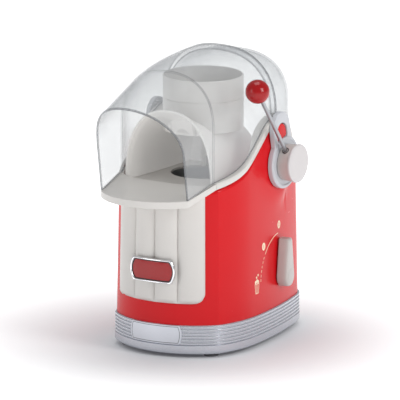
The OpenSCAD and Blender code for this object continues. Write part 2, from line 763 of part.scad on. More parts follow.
module heater_coil() color("#7f7a74") translate([0, chamber_y, duct_z + 6])
    for (i = [0:4]) for (r = [14, 24]) translate([0, 0, i * 4.6]) wire_ring(r);

module thermostat() color("#3c3c3f")
translate([chamber_r + 0.2, chamber_y, chamber_z + 30]) rotate([0, 90, 0]) {
    cylinder(h = 6, r = 8);
    translate([0, 0, 6]) cylinder(h = 3, r = 5);
}

module thermal_fuse() color("#d8d4c8")
translate([-chamber_r - 3.2, chamber_y - 8, chamber_z + 22]) rotate([-90, 0, 0])
    cylinder(h = 16, r = 3);

blower_r = fan_r + 6;
module blower_housing() color("#d9d6cc") translate([0, chamber_y, blower_z]) difference() {
    cylinder(h = blower_h, r = blower_r);
    translate([0, 0, 2]) cylinder(h = blower_h - 4, r = blower_r - 2);
    translate([0, 0, blower_h - 3]) cylinder(h = 6, r = duct_r - 1.5);
    for (i = [0:7]) rotate(i * 45 + 22.5) translate([motor_r - 4, 0, -1])
        linear_extrude(6) translate([0, -4]) square([12, 8]);
    translate([0, 0, -1]) cylinder(h = 6, r = 6);
}

fan_z = blower_z + 4;
module fan_rotor() color("#8f9296") translate([0, chamber_y, fan_z]) {
    difference() {
        union() {
            cylinder(h = 1.5, r = fan_r);
            cylinder(h = fan_h - 1, r = 6);
        }
        translate([0, 0, -1]) cylinder(h = fan_h + 2, r = 2.5);
    }
    for (i = [0:11]) rotate(i * 30) translate([14, 0, 1.4]) rotate(-25) translate([0, -0.6, 0])
        cube([20, 1.2, fan_h - 2.4]);
}

module motor_shaft() color(silver) translate([0, chamber_y, motor_z + 4])
    cylinder(h = motor_h + fan_h - 2, r = 2.5);

module motor_body() color("#55585d") translate([0, chamber_y, motor_z]) difference() {
    union() {
        cylinder(h = motor_h - 2 - bracket_t, r = motor_r);
        cylinder(h = motor_h - bracket_t, r = 8);
    }
    translate([0, 0, 3.9]) cylinder(h = motor_h, r = 2.5 + fit_gap);
}

leg_r = 4;
module motor_bracket() color("#9a9da2") translate([0, chamber_y, 0]) difference() {
    union() {
        translate([0, 0, blower_z - bracket_t]) linear_extrude(bracket_t) difference() {
            circle(r = blower_r - 4);
            for (i = [0:7]) rotate(i * 45 + 22.5) translate([motor_r - 4, -4]) square([12, 8]);
        }
        for (a = [45:90:315]) rotate(a) translate([blower_r - leg_r - 4, 0, plate_top])
            cylinder(h = blower_z - bracket_t - plate_top + eps, r = leg_r);
    }
    translate([0, 0, blower_z - 6]) cylinder(h = 12, r = 8);
    for (a = [45:90:315]) rotate(a) translate([blower_r - leg_r - 4, 0, plate_top - 1])
        cylinder(h = 14, r = 1.5);
}

// ---- controls and wiring -------------------------------------------------

knob_base = 0.8;
knob_h = 15;
module knob_outline(grow) {
    hull() {
        circle(r = knob_r + grow, $fn = 64);
        translate([-knob_reach + 5 - grow, 0]) square([10, 13 + 2 * grow], center = true);
    }
}
module selector_knob() color(light_grey) at_knob() difference() {
    union() {
        translate([0, 0, knob_base + 2]) linear_extrude(knob_h - 4) knob_outline(0);
        translate([0, 0, knob_base + knob_h - 2.2]) linear_extrude(2) knob_outline(-1.5);
        translate([0, 0, knob_base]) cylinder(h = 3, r = knob_r - 1);
    }
    translate([0, 0, knob_base - 1]) cylinder(h = 11, r = knob_shaft_r);
}

switch_x = -wall - 3;
module knob_shaft() color(silver) at_knob() translate([0, 0, switch_x - 6])
    cylinder(h = knob_base + 10 - switch_x + 6 - 1, r = knob_shaft_r);

module rotary_switch() color("#3c3c3f") at_knob() difference() {
    translate([0, 0, switch_x - 22]) union() {
        translate([-15, -15, 0]) cube([30, 30, 18]);
        cylinder(h = 22, r = 6);
    }
    translate([0, 0, switch_x - 6.2]) cylinder(h = 10, r = knob_shaft_r + fit_gap);
}

module terminal_block() color("#e6e2d6") translate([-20, back_y - 44, plate_top]) difference() {
    translate([-8, -16, 0]) cube([16, 32, 14]);
    for (i = [-1:1]) translate([0, i * 10, 4]) cylinder(h = 12, r = 2.6);
}

module rectifier_board() color("#2f6a46") translate([22, back_y - 44, plate_top]) {
    for (p = [[-14, -10], [14, -10], [-14, 10], [14, 10]])
        translate([p[0], p[1], 0]) cylinder(h = 6, r = 2);
    translate([-18, -14, 6]) cube([36, 28, 1.6]);
    translate([-8, -6, 7.6]) cube([6, 12, 10]);
}

// ---- assembly ------------------------------------------------------------

translate(shift) {
    base_plate();
    feet();
    base_screws();
    base_band();
    nameplate();
    red_shell();
    front_panel();
    badge_rim();
    badge_inlay();
    chute_tray();
    trim_ring();
    inner_chute();
    hopper_cup();
    feed_throat();
    rear_hood();
    front_hood();
    hood_arm(1);  // hood_arm_right
    hood_arm(-1);  // hood_arm_left
    arm_inlay(1);  // arm_inlay_right
    arm_inlay(-1);  // arm_inlay_left
    arm_screws();
    pivot_bush(1);  // pivot_bush_right
    pivot_bush(-1);  // pivot_bush_left
    pivot_cap_left();
    lever_hub();
    lever_cap();
    lever_rod();
    lever_ball();
    lever_shaft();
    metering_drum();
    return_spring();
    popping_chamber();
    chamber_seal();
    heater_duct();
    mica_frame();
    heater_coil();
    thermostat();
    thermal_fuse();
    blower_housing();
    fan_rotor();
    motor_shaft();
    motor_body();
    motor_bracket();
    rotary_switch();
    selector_knob();
    knob_shaft();
    terminal_block();
    rectifier_board();
    cord_gland();
}
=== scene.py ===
"""Counter-top popcorn maker: the looks of every piece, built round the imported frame.

Sizes are in millimetres, +Z up, the front of the machine towards -Y. They are measured from
the plane of symmetry and the vertical front corners of the body, and placed by at().
"""

import math

import bmesh
import bpy
from bpy.props import FloatProperty, FloatVectorProperty, IntProperty, PointerProperty
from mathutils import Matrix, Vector


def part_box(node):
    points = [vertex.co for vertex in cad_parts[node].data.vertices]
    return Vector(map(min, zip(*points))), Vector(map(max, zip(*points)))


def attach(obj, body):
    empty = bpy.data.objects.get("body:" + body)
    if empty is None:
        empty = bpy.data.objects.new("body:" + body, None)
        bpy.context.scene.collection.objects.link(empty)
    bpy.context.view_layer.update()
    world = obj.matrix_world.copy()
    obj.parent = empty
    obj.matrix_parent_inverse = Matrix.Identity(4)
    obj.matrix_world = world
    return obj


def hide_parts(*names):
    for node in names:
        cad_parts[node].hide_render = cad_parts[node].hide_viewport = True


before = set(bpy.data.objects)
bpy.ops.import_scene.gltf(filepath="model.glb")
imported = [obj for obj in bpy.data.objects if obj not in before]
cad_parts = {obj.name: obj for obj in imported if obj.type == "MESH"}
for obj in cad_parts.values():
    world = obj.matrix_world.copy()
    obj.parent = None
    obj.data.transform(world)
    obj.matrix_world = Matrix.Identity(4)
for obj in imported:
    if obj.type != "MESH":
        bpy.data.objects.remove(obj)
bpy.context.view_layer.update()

bl_info = {
    "name": "Popcorn maker",
    "version": (1, 0, 0),
    "blender": (4, 5, 0),
    "location": "View3D > Sidebar > Popcorn",
    "description": "Builds the shells, hoods, lever, knob and finishes of a popcorn maker",
    "category": "Object",
}

MM = 0.001
SHELL_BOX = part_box("red_shell")
X_MIDDLE = (SHELL_BOX[0].x + SHELL_BOX[1].x) / 2
Y_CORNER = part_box("chute_tray")[0].y + 85 * MM      # the tray's lip stands 85 mm in front


def at(x, y, z):
    """A point of the machine, given in millimetres, as a place in the frame."""
    return Vector((X_MIDDLE + x * MM, Y_CORNER + y * MM, z * MM))


# Sizes and colours


def length(name, description, default):
    return FloatProperty(name=name, description=description, default=default * MM,
                         subtype="DISTANCE", unit="LENGTH")


def colour(name, description, red, green, blue):
    """A colour property from 0 to 255 display values."""
    def linear(v):
        v /= 255
        return v / 12.92 if v <= 0.04045 else ((v + 0.055) / 1.055) ** 2.4
    return FloatVectorProperty(name=name, description=description, subtype="COLOR", size=3,
                               min=0, max=1, default=[linear(v) for v in (red, green, blue)])


class BodySizes(bpy.types.PropertyGroup):
    """Sizes of the body that the pieces share."""
    foot_h: length("Foot height", "Height of the rubber feet", 4)
    band_top: length("Band top", "Height of the top of the ribbed band", 41)
    band_proud: length("Band proud", "How far the band stands proud of the shell", 2.6)
    rib_count: IntProperty(name="Ribs", description="Ribs on the band", default=6, min=1)
    rib_pitch: length("Rib pitch", "Height of one rib", 4.2)
    panel_half_w: length("Panel half width", "Half width of the fluted panel", 61)
    flute_h: length("Flute", "How far each flute bulges", 5)
    badge_w: length("Badge width", "Width of the enamel badge", 64)
    badge_h: length("Badge height", "Height of the enamel badge", 30)


class LeverSizes(bpy.types.PropertyGroup):
    """Sizes of the side lever."""
    ball_r: length("Ball radius", "Radius of the ball", 15)
    lever_len: length("Lever length", "Pivot line to the middle of the ball", 134)
    rod_r: length("Rod radius", "Radius of the rod", 2.6)
    hub_r: length("Hub radius", "Radius of the hub", 23)
    knob_r: length("Knob radius", "Radius of the selector's round end", 13.3)


class Finishes(bpy.types.PropertyGroup):
    """Colours of the machine."""
    red: colour("Shell red", "Glossy red of the shell", 206, 12, 22)
    deep_red: colour("Deep red", "Red of the ball and the badge", 156, 3, 9)
    white: colour("White", "Off-white of the panel, tray and cowl", 208, 205, 201)
    silver: colour("Silver", "Satin silver of the band", 204, 207, 214)
    grey: colour("Light grey", "Grey of the arms and the hub", 190, 192, 197)
    taupe: colour("Warm grey", "Grey of the selector knob", 190, 184, 180)
    cap: colour("Cap white", "Nearly white of the lever's cap", 200, 196, 196)
    print_cream: colour("Print", "Cream of the printed dial marks", 247, 226, 196)


def size(name):
    """A body or lever size in millimetres."""
    for group in (bpy.context.scene.popcorn_body, bpy.context.scene.popcorn_lever):
        if hasattr(group, name):
            value = getattr(group, name)
            return value if isinstance(value, int) else value / MM
    raise AttributeError(name)


def paint(name):
    return tuple(getattr(bpy.context.scene.popcorn_finish, name)) + (1.0,)


# The body's plan

FRONT_R, FRONT_C = 101.452, (0.0, 70.4516)     # bulging front wall
SIDE_R, SIDE_C = 130.0, (-42.8309, 59.0188)    # front half of a side wall
MAX_HALF_W = SIDE_C[0] + SIDE_R
REAR_SIDE_R = 560.0
REAR_SIDE_C = (MAX_HALF_W - REAR_SIDE_R, SIDE_C[1])
REAR_TURN = math.radians(14)
CORNER_R = 45.0
CORNER_C = (REAR_SIDE_C[0] + (REAR_SIDE_R - CORNER_R) * math.cos(REAR_TURN),
            REAR_SIDE_C[1] + (REAR_SIDE_R - CORNER_R) * math.sin(REAR_TURN))
BACK_R = 170.0
BACK_TURN = math.acos(CORNER_C[0] / (BACK_R - CORNER_R))
BACK_C = (0.0, CORNER_C[1] - (BACK_R - CORNER_R) * math.sin(BACK_TURN))
BACK_Y = BACK_C[1] + BACK_R
LEAN = 0.018                                   # inward lean of the walls, mm per mm
SHELL_H = 177.0

AXIS_Y, AXIS_Z = 131.0, 223.0                  # pivot line of the hood and the lever
RIM_Z, TRAY_DROP = 218.0, 12.0                 # hood's seat at the corners; drop to the lip
LIP_Z, UNDER_LIP_Z = RIM_Z - TRAY_DROP, 197.0
MOUTH_REACH = 56.0                             # from the corners to the feet of the rim
TRIM_R = 59.0
TRIM_BACK = 33.0                               # reach of the trim behind the pivot line
BOSS_X = MAX_HALF_W - 2.4
ARM_X, ARM_T = BOSS_X + 0.5, 6.5
HUB_X, HUB_LEN = ARM_X + ARM_T + 0.5, 15.0
CHAMBER_Y = 86.0
HOPPER_R, HOPPER_Z, HOPPER_H = 50.0, 267.0, 66.0


def arc(centre, radius, start, end, count):
    return [(centre[0] + radius * math.cos(start + (end - start) * i / count),
             centre[1] + radius * math.sin(start + (end - start) * i / count))
            for i in range(count + 1)]


def crossing(c1, r1, c2, r2):
    """Angle on the first circle where it meets the second, on the +X side."""
    dx, dy = c2[0] - c1[0], c2[1] - c1[1]
    d = math.hypot(dx, dy)
    base = math.atan2(dy, dx)
    half = math.acos((d * d + r1 * r1 - r2 * r2) / (2 * d * r1))
    return max((base + half, base - half), key=math.cos)


def half_plan(inset, fine=1):
    """Right half of the body's outline, moved inwards, from the front middle to the back."""
    a_front = crossing(FRONT_C, FRONT_R - inset, SIDE_C, SIDE_R - inset)
    a_side = crossing(SIDE_C, SIDE_R - inset, FRONT_C, FRONT_R - inset)
    a_front -= 2 * math.pi * math.ceil((a_front - math.pi / 2) / (2 * math.pi))
    return (arc(FRONT_C, FRONT_R - inset, -math.pi / 2, a_front, 16 * fine)
            + arc(SIDE_C, SIDE_R - inset, a_side, 0, 12 * fine)[1:]
            + arc(REAR_SIDE_C, REAR_SIDE_R - inset, 0, REAR_TURN, 20 * fine)[1:]
            + arc(CORNER_C, CORNER_R - inset, REAR_TURN, BACK_TURN, 12 * fine)[1:]
            + arc(BACK_C, BACK_R - inset, BACK_TURN, math.pi / 2, 6 * fine)[1:])


def plan(inset, fine=1):
    half = half_plan(inset, fine)
    return half + [(-x, y) for x, y in half[-2:0:-1]]


def wall_inset(z):
    return LEAN * min(max(z - 41.0, 0.0), SHELL_H)


def wall_x(y, z):
    """Half width of the body's side wall at a place on it."""
    centre, radius = (SIDE_C, SIDE_R) if y < SIDE_C[1] else (REAR_SIDE_C, REAR_SIDE_R)
    inside = max((radius - wall_inset(z)) ** 2 - (y - centre[1]) ** 2, 0)
    return centre[0] + math.sqrt(inside)


def bezier(points, count):
    def place(t):
        u = 1 - t
        weights = (u ** 3, 3 * u * u * t, 3 * u * t * t, t ** 3)
        return tuple(sum(w * p[k] for w, p in zip(weights, points)) for k in (0, 1))
    return [place(i / count) for i in range(count + 1)]


def edge_curve(drop):
    """Edge of the trim in side view, (y, z): along the tray, up to the boss and round it."""
    r, join = TRIM_R - drop, math.radians(50)

    def on_boss(a):
        return AXIS_Y - r * math.cos(a), AXIS_Z + r * math.sin(a)

    start, end = (0.0, RIM_Z - drop), on_boss(join)
    reach_in, reach_out = 0.40 * AXIS_Y, 0.42 * AXIS_Y
    leave = (start[0] + reach_in * math.cos(math.radians(12)),
             start[1] + reach_in * math.sin(math.radians(12)))
    arrive = (end[0] - reach_out * math.sin(join), end[1] - reach_out * math.cos(join))
    sweep = bezier([start, leave, arrive, end], 30)
    top = [on_boss(join + (math.pi / 2 - join) * i / 12) for i in range(1, 13)]
    back = [(AXIS_Y + (TRIM_BACK - drop) * math.sin(a), AXIS_Z + r * math.cos(a))
            for a in (math.radians(5 * i) for i in range(1, 19))]
    return sweep + top + back + [(AXIS_Y + TRIM_BACK - drop, AXIS_Z - drop)]


def edge_z(y, drop=0.0):
    """Height of the trim's edge at y."""
    if y <= 0:
        return RIM_Z - drop + TRAY_DROP * y / MOUTH_REACH
    curve = edge_curve(drop)
    if y >= curve[-1][0]:
        return AXIS_Z - drop
    for (y0, z0), (y1, z1) in zip(curve, curve[1:]):
        if y0 <= y <= y1 and y1 > y0:
            return z0 + (z1 - z0) * (y - y0) / (y1 - y0)
    return AXIS_Z - drop


MOUTH_FRONT, MOUTH_HALF_W, MOUTH_SAG = -85.0, 62.0, 29.0
MOUTH_R = (MOUTH_HALF_W ** 2 + MOUTH_SAG ** 2) / (2 * MOUTH_SAG)
TRAY_SIDE_W = 73.0 - LEAN * SHELL_H


def mouth_y(x):
    return MOUTH_FRONT + MOUTH_R - math.sqrt(MOUTH_R ** 2 - x * x)


def tray_under(v):
    """Height of the tray's underside, from its lip (0) to the corner creases (1)."""
    return UNDER_LIP_Z + 13.1 * v


def under_tray(x, y):
    """Height of the tray's underside over a place on the front wall."""
    return tray_under(1 - min(1.0, y / mouth_y(max(-62.0, min(62.0, x * 0.9)))))


# Modelling helpers


def laid_grid(bm, across, along, place):
    """A grid laid over place(u, v), with u across and v along, both 0 to 1."""
    made = bmesh.ops.create_grid(bm, x_segments=across, y_segments=along, size=1)["verts"]
    for v in made:
        v.co = place((v.co.x + 1) / 2, (v.co.y + 1) / 2)
    return made


def rim_edges(bm, verts):
    """Open edges of the sheet that the vertices make."""
    mine = set(verts)
    return [e for e in bm.edges if e.is_boundary and e.verts[0] in mine and e.verts[1] in mine]


def walled(bm, across, along, outer, inner):
    """A closed wall between two laid grids; returns the faces round its rim."""
    first = laid_grid(bm, across, along, outer)
    second = laid_grid(bm, across, along, inner)
    edges = rim_edges(bm, first) + rim_edges(bm, second)
    return bmesh.ops.bridge_loops(bm, edges=edges)["faces"]


def loop(bm, points, closed=True):
    verts = [bm.verts.new(p) for p in points]
    pairs = list(zip(verts, verts[1:] + verts[:1])) if closed else list(zip(verts, verts[1:]))
    return [bm.edges.new(pair) for pair in pairs]


def loft(bm, rings, closed=True, tube=False):
    """Skins a row of rings with matching points; capped, open, or joined into a tube."""
    loops = [loop(bm, ring, closed) for ring in rings]
    for near, far in zip(loops, loops[1:] + (loops[:1] if tube else [])):
        bmesh.ops.bridge_loops(bm, edges=near + far)
    return loops


def capped(bm, loops):
    for edges in (loops[0], loops[-1]):
        bmesh.ops.contextual_create(bm, geom=edges)


def lathe(bm, profile, centre, axis, steps=64, angle=2 * math.pi):
    """Spins a profile of (along, radius) points round an axis through centre."""
    axis = Vector(axis).normalized()
    side = axis.orthogonal().normalized()
    verts = [bm.verts.new(centre + axis * (a * MM) + side * (r * MM)) for a, r in profile]
    edges = [bm.edges.new(pair) for pair in zip(verts, verts[1:])]
    full = abs(angle - 2 * math.pi) < 1e-6
    bmesh.ops.spin(bm, geom=verts + edges, cent=centre, axis=axis, angle=angle, steps=steps,
                   use_merge=full)
    bmesh.ops.remove_doubles(bm, verts=bm.verts, dist=1e-6)


def plate(bm, outline, holes=()):
    """Flat face with holes, from closed outlines of points."""
    edges = loop(bm, outline)
    for hole in holes:
        edges += loop(bm, hole)
    return bmesh.ops.triangle_fill(bm, use_beauty=True, edges=edges)["geom"]


def raised(bm, geom, by):
    """Extrudes faces by a vector and returns the new top's vertices."""
    faces = [g for g in geom if isinstance(g, bmesh.types.BMFace)]
    new = bmesh.ops.extrude_face_region(bm, geom=faces)["geom"]
    top = [g for g in new if isinstance(g, bmesh.types.BMVert)]
    bmesh.ops.translate(bm, verts=top, vec=by)
    return top


def softened(bm, edges, width, segments=3):
    bmesh.ops.bevel(bm, geom=list(edges), offset=width * MM, offset_type="OFFSET",
                    segments=segments, profile=0.5, affect="EDGES", material=-1)


def mirrored(bm):
    """Adds the left-hand copy of a right-hand shape."""
    copy = bmesh.ops.duplicate(bm, geom=bm.verts[:] + bm.edges[:] + bm.faces[:])["geom"]
    verts = [g for g in copy if isinstance(g, bmesh.types.BMVert)]
    for v in verts:
        v.co.x = 2 * X_MIDDLE - v.co.x
    faces = [g for g in copy if isinstance(g, bmesh.types.BMFace)]
    bmesh.ops.reverse_faces(bm, faces=faces)


def piece(name, bm, body, slot, finish, nodes=(), edge_finish=None, sharp=35, bevel=0.0):
    """Turns a bmesh into a named piece that rides on a body and wears its finishes."""
    bmesh.ops.recalc_face_normals(bm, faces=bm.faces)
    if any(e.is_boundary for e in bm.edges):
        middle = at(0, 80, 150)
        outward = sum(f.normal.dot(f.calc_center_median() - middle) * f.calc_area()
                      for f in bm.faces)
        if outward < 0:
            bmesh.ops.reverse_faces(bm, faces=bm.faces)
    mesh = bpy.data.meshes.new(name)
    bm.to_mesh(mesh)
    bm.free()
    obj = bpy.data.objects.new(name, mesh)
    bpy.context.scene.collection.objects.link(obj)
    mesh.materials.append(made_finish(finish))
    if edge_finish:
        mesh.materials.append(made_finish(edge_finish))
    mesh.polygons.foreach_set("use_smooth", [True] * len(mesh.polygons))
    mesh.set_sharp_from_angle(angle=math.radians(sharp))
    if bevel:
        rounding = obj.modifiers.new("rounded edges", "BEVEL")
        rounding.width = bevel * MM
        rounding.segments = 3
        rounding.limit_method = "ANGLE"
        rounding.angle_limit = math.radians(40)
        rounding.harden_normals = True
    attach(obj, body)
    if nodes:
        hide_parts(*nodes)
    return obj


def turned(name, body, slot, finish, profile, centre, axis, steps=72, nodes=(), sharp=35):
    """A piece made by one spin of its profile."""
    bm = bmesh.new()
    lathe(bm, profile, centre, axis, steps)
    return piece(name, bm, body, slot, finish, nodes, sharp=sharp)


# Finishes


class Wire:
    """A shader socket that Python's operators extend with Math nodes."""

    def __init__(self, finish, socket):
        self.finish, self.socket = finish, socket

    def sum_up(self, operation, first, second):
        return self.finish.node("ShaderNodeMath", {"operation": operation}, {0: first, 1: second})

    def __add__(self, other):
        return self.sum_up("ADD", self, other)

    def __sub__(self, other):
        return self.sum_up("SUBTRACT", self, other)

    def __rsub__(self, other):
        return self.sum_up("SUBTRACT", other, self)

    def __mul__(self, other):
        return self.sum_up("MULTIPLY", self, other)

    def __pow__(self, other):
        return self.sum_up("POWER", self, other)

    __radd__ = __add__
    __rmul__ = __mul__


class Finish:
    """A material under construction."""

    def __init__(self, name):
        self.material = bpy.data.materials.new(name)
        self.material.use_nodes = True
        self.nodes = self.material.node_tree.nodes
        self.links = self.material.node_tree.links
        self.nodes.clear()
        self.place = self.node("ShaderNodeTexCoord", output="Object")

    def node(self, kind, settings=None, inputs=None, output=0):
        """Adds a node: its settings first, then the values or wires of its sockets."""
        made = self.nodes.new(kind)
        for name, value in (settings or {}).items():
            if name == "stops":
                ramp = made.color_ramp
                for stop, (position, value_here) in zip(ramp.elements, value):
                    stop.position, stop.color = position, (value_here,) * 3 + (1,)
            else:
                setattr(made, name, value)
        for socket, value in (inputs or {}).items():
            if isinstance(value, Wire):
                self.links.new(value.socket, made.inputs[socket])
            else:
                made.inputs[socket].default_value = value
        return Wire(self, made.outputs[output])

    def noise(self, scale, detail=3.0, stretch=(1, 1, 1)):
        """Cloudy noise from 0 to 1; scale counts clouds in a metre."""
        place = self.place
        if stretch != (1, 1, 1):
            place = self.node("ShaderNodeMapping", {}, {"Vector": place, "Scale": stretch})
        return self.node("ShaderNodeTexNoise", {}, {"Vector": place, "Scale": scale,
                                                    "Detail": detail, "Roughness": 0.55})

    def step(self, wire, low, high):
        """0 below low, 1 above high."""
        return self.node("ShaderNodeMapRange", {"interpolation_type": "SMOOTHSTEP"},
                         {"Value": wire, "From Min": low, "From Max": high})

    def blend(self, factor, first, second):
        """Mixes two colours."""
        return self.node("ShaderNodeMix", {"data_type": "RGBA"},
                         {0: factor, 6: first, 7: second}, output=2)

    def bump(self, height, depth, strength=1.0, under=None):
        inputs = {"Height": height, "Distance": depth * MM, "Strength": strength}
        if under:
            inputs["Normal"] = under
        return self.node("ShaderNodeBump", {}, inputs)

    def shown(self, shader):
        output = self.nodes.new("ShaderNodeOutputMaterial")
        self.links.new(shader.socket, output.inputs["Surface"])
        return self.material


made_finishes = {}


def shade(tint, factor):
    return tuple(min(1.0, c * factor) for c in tint[:3]) + (1.0,)


def finish_of(name, tint, roughness, metallic=0.0, coat=0.0, grain=900.0, depth=0.01,
              mottling=0.05, wear=0.08, streaks=None, dust=0.0, gleam=0.5, glow=0.0):
    """A surface with cloudy tone, fine grain, scuffs that dull it and, if asked, streaks, dust and
    a glow of painted light.
    """
    f = Finish(name)
    clouds = f.noise(24.0, 4.0)
    fine = f.noise(grain, 2.0, streaks or (1, 1, 1))
    scuffs = f.step(f.noise(70.0, 6.0, (1.0, 1.0, 4.0)), 0.62, 0.78)
    tone = f.blend(clouds, shade(tint, 1 - mottling), shade(tint, 1 + mottling))
    if streaks:
        tone = f.blend(fine * 0.35, tone, shade(tint, 0.72))
    worn = f.blend(scuffs * wear, tone, shade(tint, 1.35))
    if dust:
        height = f.node("ShaderNodeSeparateXYZ", {}, {0: f.place}, output=2)
        low = 1 - f.step(height, 0.0, 0.05)
        worn = f.blend(low * clouds * dust, worn, (0.45, 0.42, 0.38, 1.0))
    rough = clouds * (0.12 * roughness) + scuffs * (wear * 0.9) + (roughness * 0.94)
    if streaks:
        rough = rough + fine * 0.08
    swell = f.bump(f.noise(38.0, 1.0), 0.05, 0.35)
    # glow makes the surface emit: painted light, used on the cowl
    shader = f.node("ShaderNodeBsdfPrincipled", {}, {
        "Base Color": worn, "Roughness": rough, "Metallic": metallic, "IOR": 1.5,
        "Coat Weight": coat, "Coat Roughness": 0.06, "Specular IOR Level": gleam,
        "Emission Color": (1, 0.99, 0.98, 1), "Emission Strength": glow,
        "Normal": f.bump(fine, depth, 0.6, swell)})
    return f.shown(shader)


def clear_plastic():
    """Clear moulded hood: see-through face on, brighter and greyer where it turns away, a painted
    reflection standing in for what the slanting plastic reflects.
    """
    f = Finish("clear hood")
    turned = f.node("ShaderNodeLayerWeight", {}, {"Blend": 0.5}, output="Facing")
    ripple = f.noise(16.0, 2.0, (1.0, 0.6, 0.6))
    dusty = f.step(f.noise(60.0, 5.0), 0.5, 0.8)
    # Painted reflection: opacity and grey rise where the surface turns from view
    solid = turned ** 3.0 * 0.58 + dusty * 0.02 + ripple * 0.05 + 0.11
    surface = f.node("ShaderNodeBsdfPrincipled", {}, {
        "Base Color": f.blend(turned, (0.80, 0.81, 0.83, 1), (0.46, 0.48, 0.50, 1)),
        "Roughness": ripple * 0.08 + 0.05, "IOR": 1.49, "Specular IOR Level": 0.9,
        "Normal": f.bump(ripple, 0.6, 0.5)})
    glass = f.node("ShaderNodeBsdfTransparent", {}, {"Color": (0.985, 0.99, 0.99, 1)})
    return f.shown(f.node("ShaderNodeMixShader", {}, {0: solid, 1: glass, 2: surface}))


def clear_edge_painted_shade():
    """Cut and folded edges of the clear hoods as dark grey, part-solid lines: painted shade
    standing in for the light that the clear plastic bends and reflects there.
    """
    f = Finish("clear edge")
    cloud = f.noise(120.0, 3.0)
    surface = f.node("ShaderNodeBsdfPrincipled", {}, {
        "Base Color": f.blend(cloud, (0.13, 0.135, 0.145, 1), (0.24, 0.25, 0.27, 1)),
        "Roughness": cloud * 0.1 + 0.18, "IOR": 1.49, "Normal": f.bump(cloud, 0.1, 0.4)})
    glass = f.node("ShaderNodeBsdfTransparent", {}, {"Color": (0.97, 0.98, 0.98, 1)})
    return f.shown(f.node("ShaderNodeMixShader", {}, {
        0: cloud * 0.2 + 0.55, 1: glass, 2: surface}))


# Each made finish: its colour, a named one with a brightness or linear values; its roughness;
# and what sets it apart
MOULDED = {
    "red gloss": (("red", 1), 0.26, dict(coat=0.04, grain=420, depth=0.012, mottling=0.03,
        wear=0.02, dust=0.05, gleam=0.2)),
    "white plastic": (("white", 1), 0.33, dict(coat=0.15, depth=0.012, mottling=0.02, wear=0.04)),
    # The cowl's faint glow is painted light, standing in for light reaching under the clear hood
    "cowl plastic": (("white", 1), 0.3, dict(coat=0.2, depth=0.012, mottling=0.02, wear=0.04,
        glow=0.14)),
    "silver paint": (("silver", 1), 0.24, dict(metallic=0.8, depth=0.004, mottling=0.02,
        wear=0.02, dust=0.05)),
    "brushed plate": (("silver", 1.08), 0.26, dict(metallic=0.85, grain=260, streaks=(1, 1, 18),
        depth=0.01, mottling=0.02)),
    "chrome": ((0.83, 0.84, 0.86, 1), 0.1, dict(metallic=1.0, depth=0.004, mottling=0.02,
        wear=0.06)),
    "red enamel": (("deep_red", 1), 0.14, dict(coat=0.3, gleam=0.4, grain=500, depth=0.008,
        mottling=0.12, wear=0.03)),
    "grey plastic": (("grey", 1), 0.34, dict(coat=0.1, depth=0.012, mottling=0.02, wear=0.06)),
    "hub plastic": (("taupe", 1.04), 0.38, dict(depth=0.014, mottling=0.025, wear=0.07)),
    "knob plastic": (("taupe", 1), 0.34, dict(coat=0.12, depth=0.012, mottling=0.025, wear=0.08)),
    "cap plastic": (("cap", 1), 0.32, dict(coat=0.15, depth=0.01, mottling=0.015, wear=0.05)),
    "ball gloss": (("deep_red", 1), 0.2, dict(coat=0.1, gleam=0.35, grain=300, depth=0.006,
        mottling=0.05, wear=0.03)),
    "rod steel": ((0.42, 0.43, 0.45, 1), 0.3, dict(metallic=1.0, grain=500, streaks=(1, 3, 3),
        depth=0.006, wear=0.1)),
    "dial print": (("print_cream", 1), 0.5, dict(grain=700, depth=0.008, mottling=0.04, wear=0.1)),
    "dark line": ((0.13, 0.135, 0.15, 1), 0.4, dict(metallic=0.3, depth=0.006)),
    # Near black; behind the arms' red windows it is painted shadow
    "dark hole": ((0.02, 0.02, 0.022, 1), 0.6, dict(depth=0.01)),
    "black plastic": ((0.022, 0.022, 0.024, 1), 0.5, dict(depth=0.02, dust=0.3)),
    "rubber": ((0.1, 0.1, 0.105, 1), 0.75, dict(depth=0.03, grain=1400)),
    "steel": ((0.56, 0.57, 0.59, 1), 0.28, dict(metallic=1.0, streaks=(6, 1, 1), grain=300)),
    "nylon": ((0.8, 0.78, 0.72, 1), 0.45, dict(depth=0.015)),
    "spun aluminium": ((0.62, 0.63, 0.64, 1), 0.3, dict(
        metallic=1.0, streaks=(1, 1, 30), grain=160, wear=0.2)),
    "silicone": ((0.48, 0.06, 0.03, 1), 0.6, dict(depth=0.01)),
    "duct metal": ((0.45, 0.46, 0.47, 1), 0.4, dict(metallic=1.0, mottling=0.12)),
    "mica": ((0.58, 0.45, 0.25, 1), 0.4, dict(mottling=0.25, grain=260)),
    "heater wire": ((0.25, 0.21, 0.18, 1), 0.45, dict(metallic=0.9, mottling=0.3)),
    "ceramic": ((0.72, 0.69, 0.6, 1), 0.5, dict(depth=0.01)),
    "housing nylon": ((0.66, 0.63, 0.55, 1), 0.5, dict(depth=0.02)),
    "fan metal": ((0.4, 0.41, 0.42, 1), 0.38, dict(metallic=1.0, streaks=(8, 8, 1), grain=120)),
    "motor steel": ((0.16, 0.165, 0.175, 1), 0.42, dict(metallic=0.9, mottling=0.1)),
    "board green": ((0.03, 0.16, 0.07, 1), 0.35, dict(grain=300, coat=0.4)),
}


def made_finish(name):
    """The material of that name, made the first time that a piece asks for it."""
    if name not in made_finishes:
        if name in CLEAR:
            made_finishes[name] = CLEAR[name]()
        else:
            tint, roughness, more = MOULDED[name]
            if isinstance(tint[0], str):
                tint = shade(paint(tint[0]), tint[1])
            made_finishes[name] = finish_of(name, tint, roughness, **more)
    return made_finishes[name]


CLEAR = {"clear hood": clear_plastic, "clear edge": clear_edge_painted_shade}

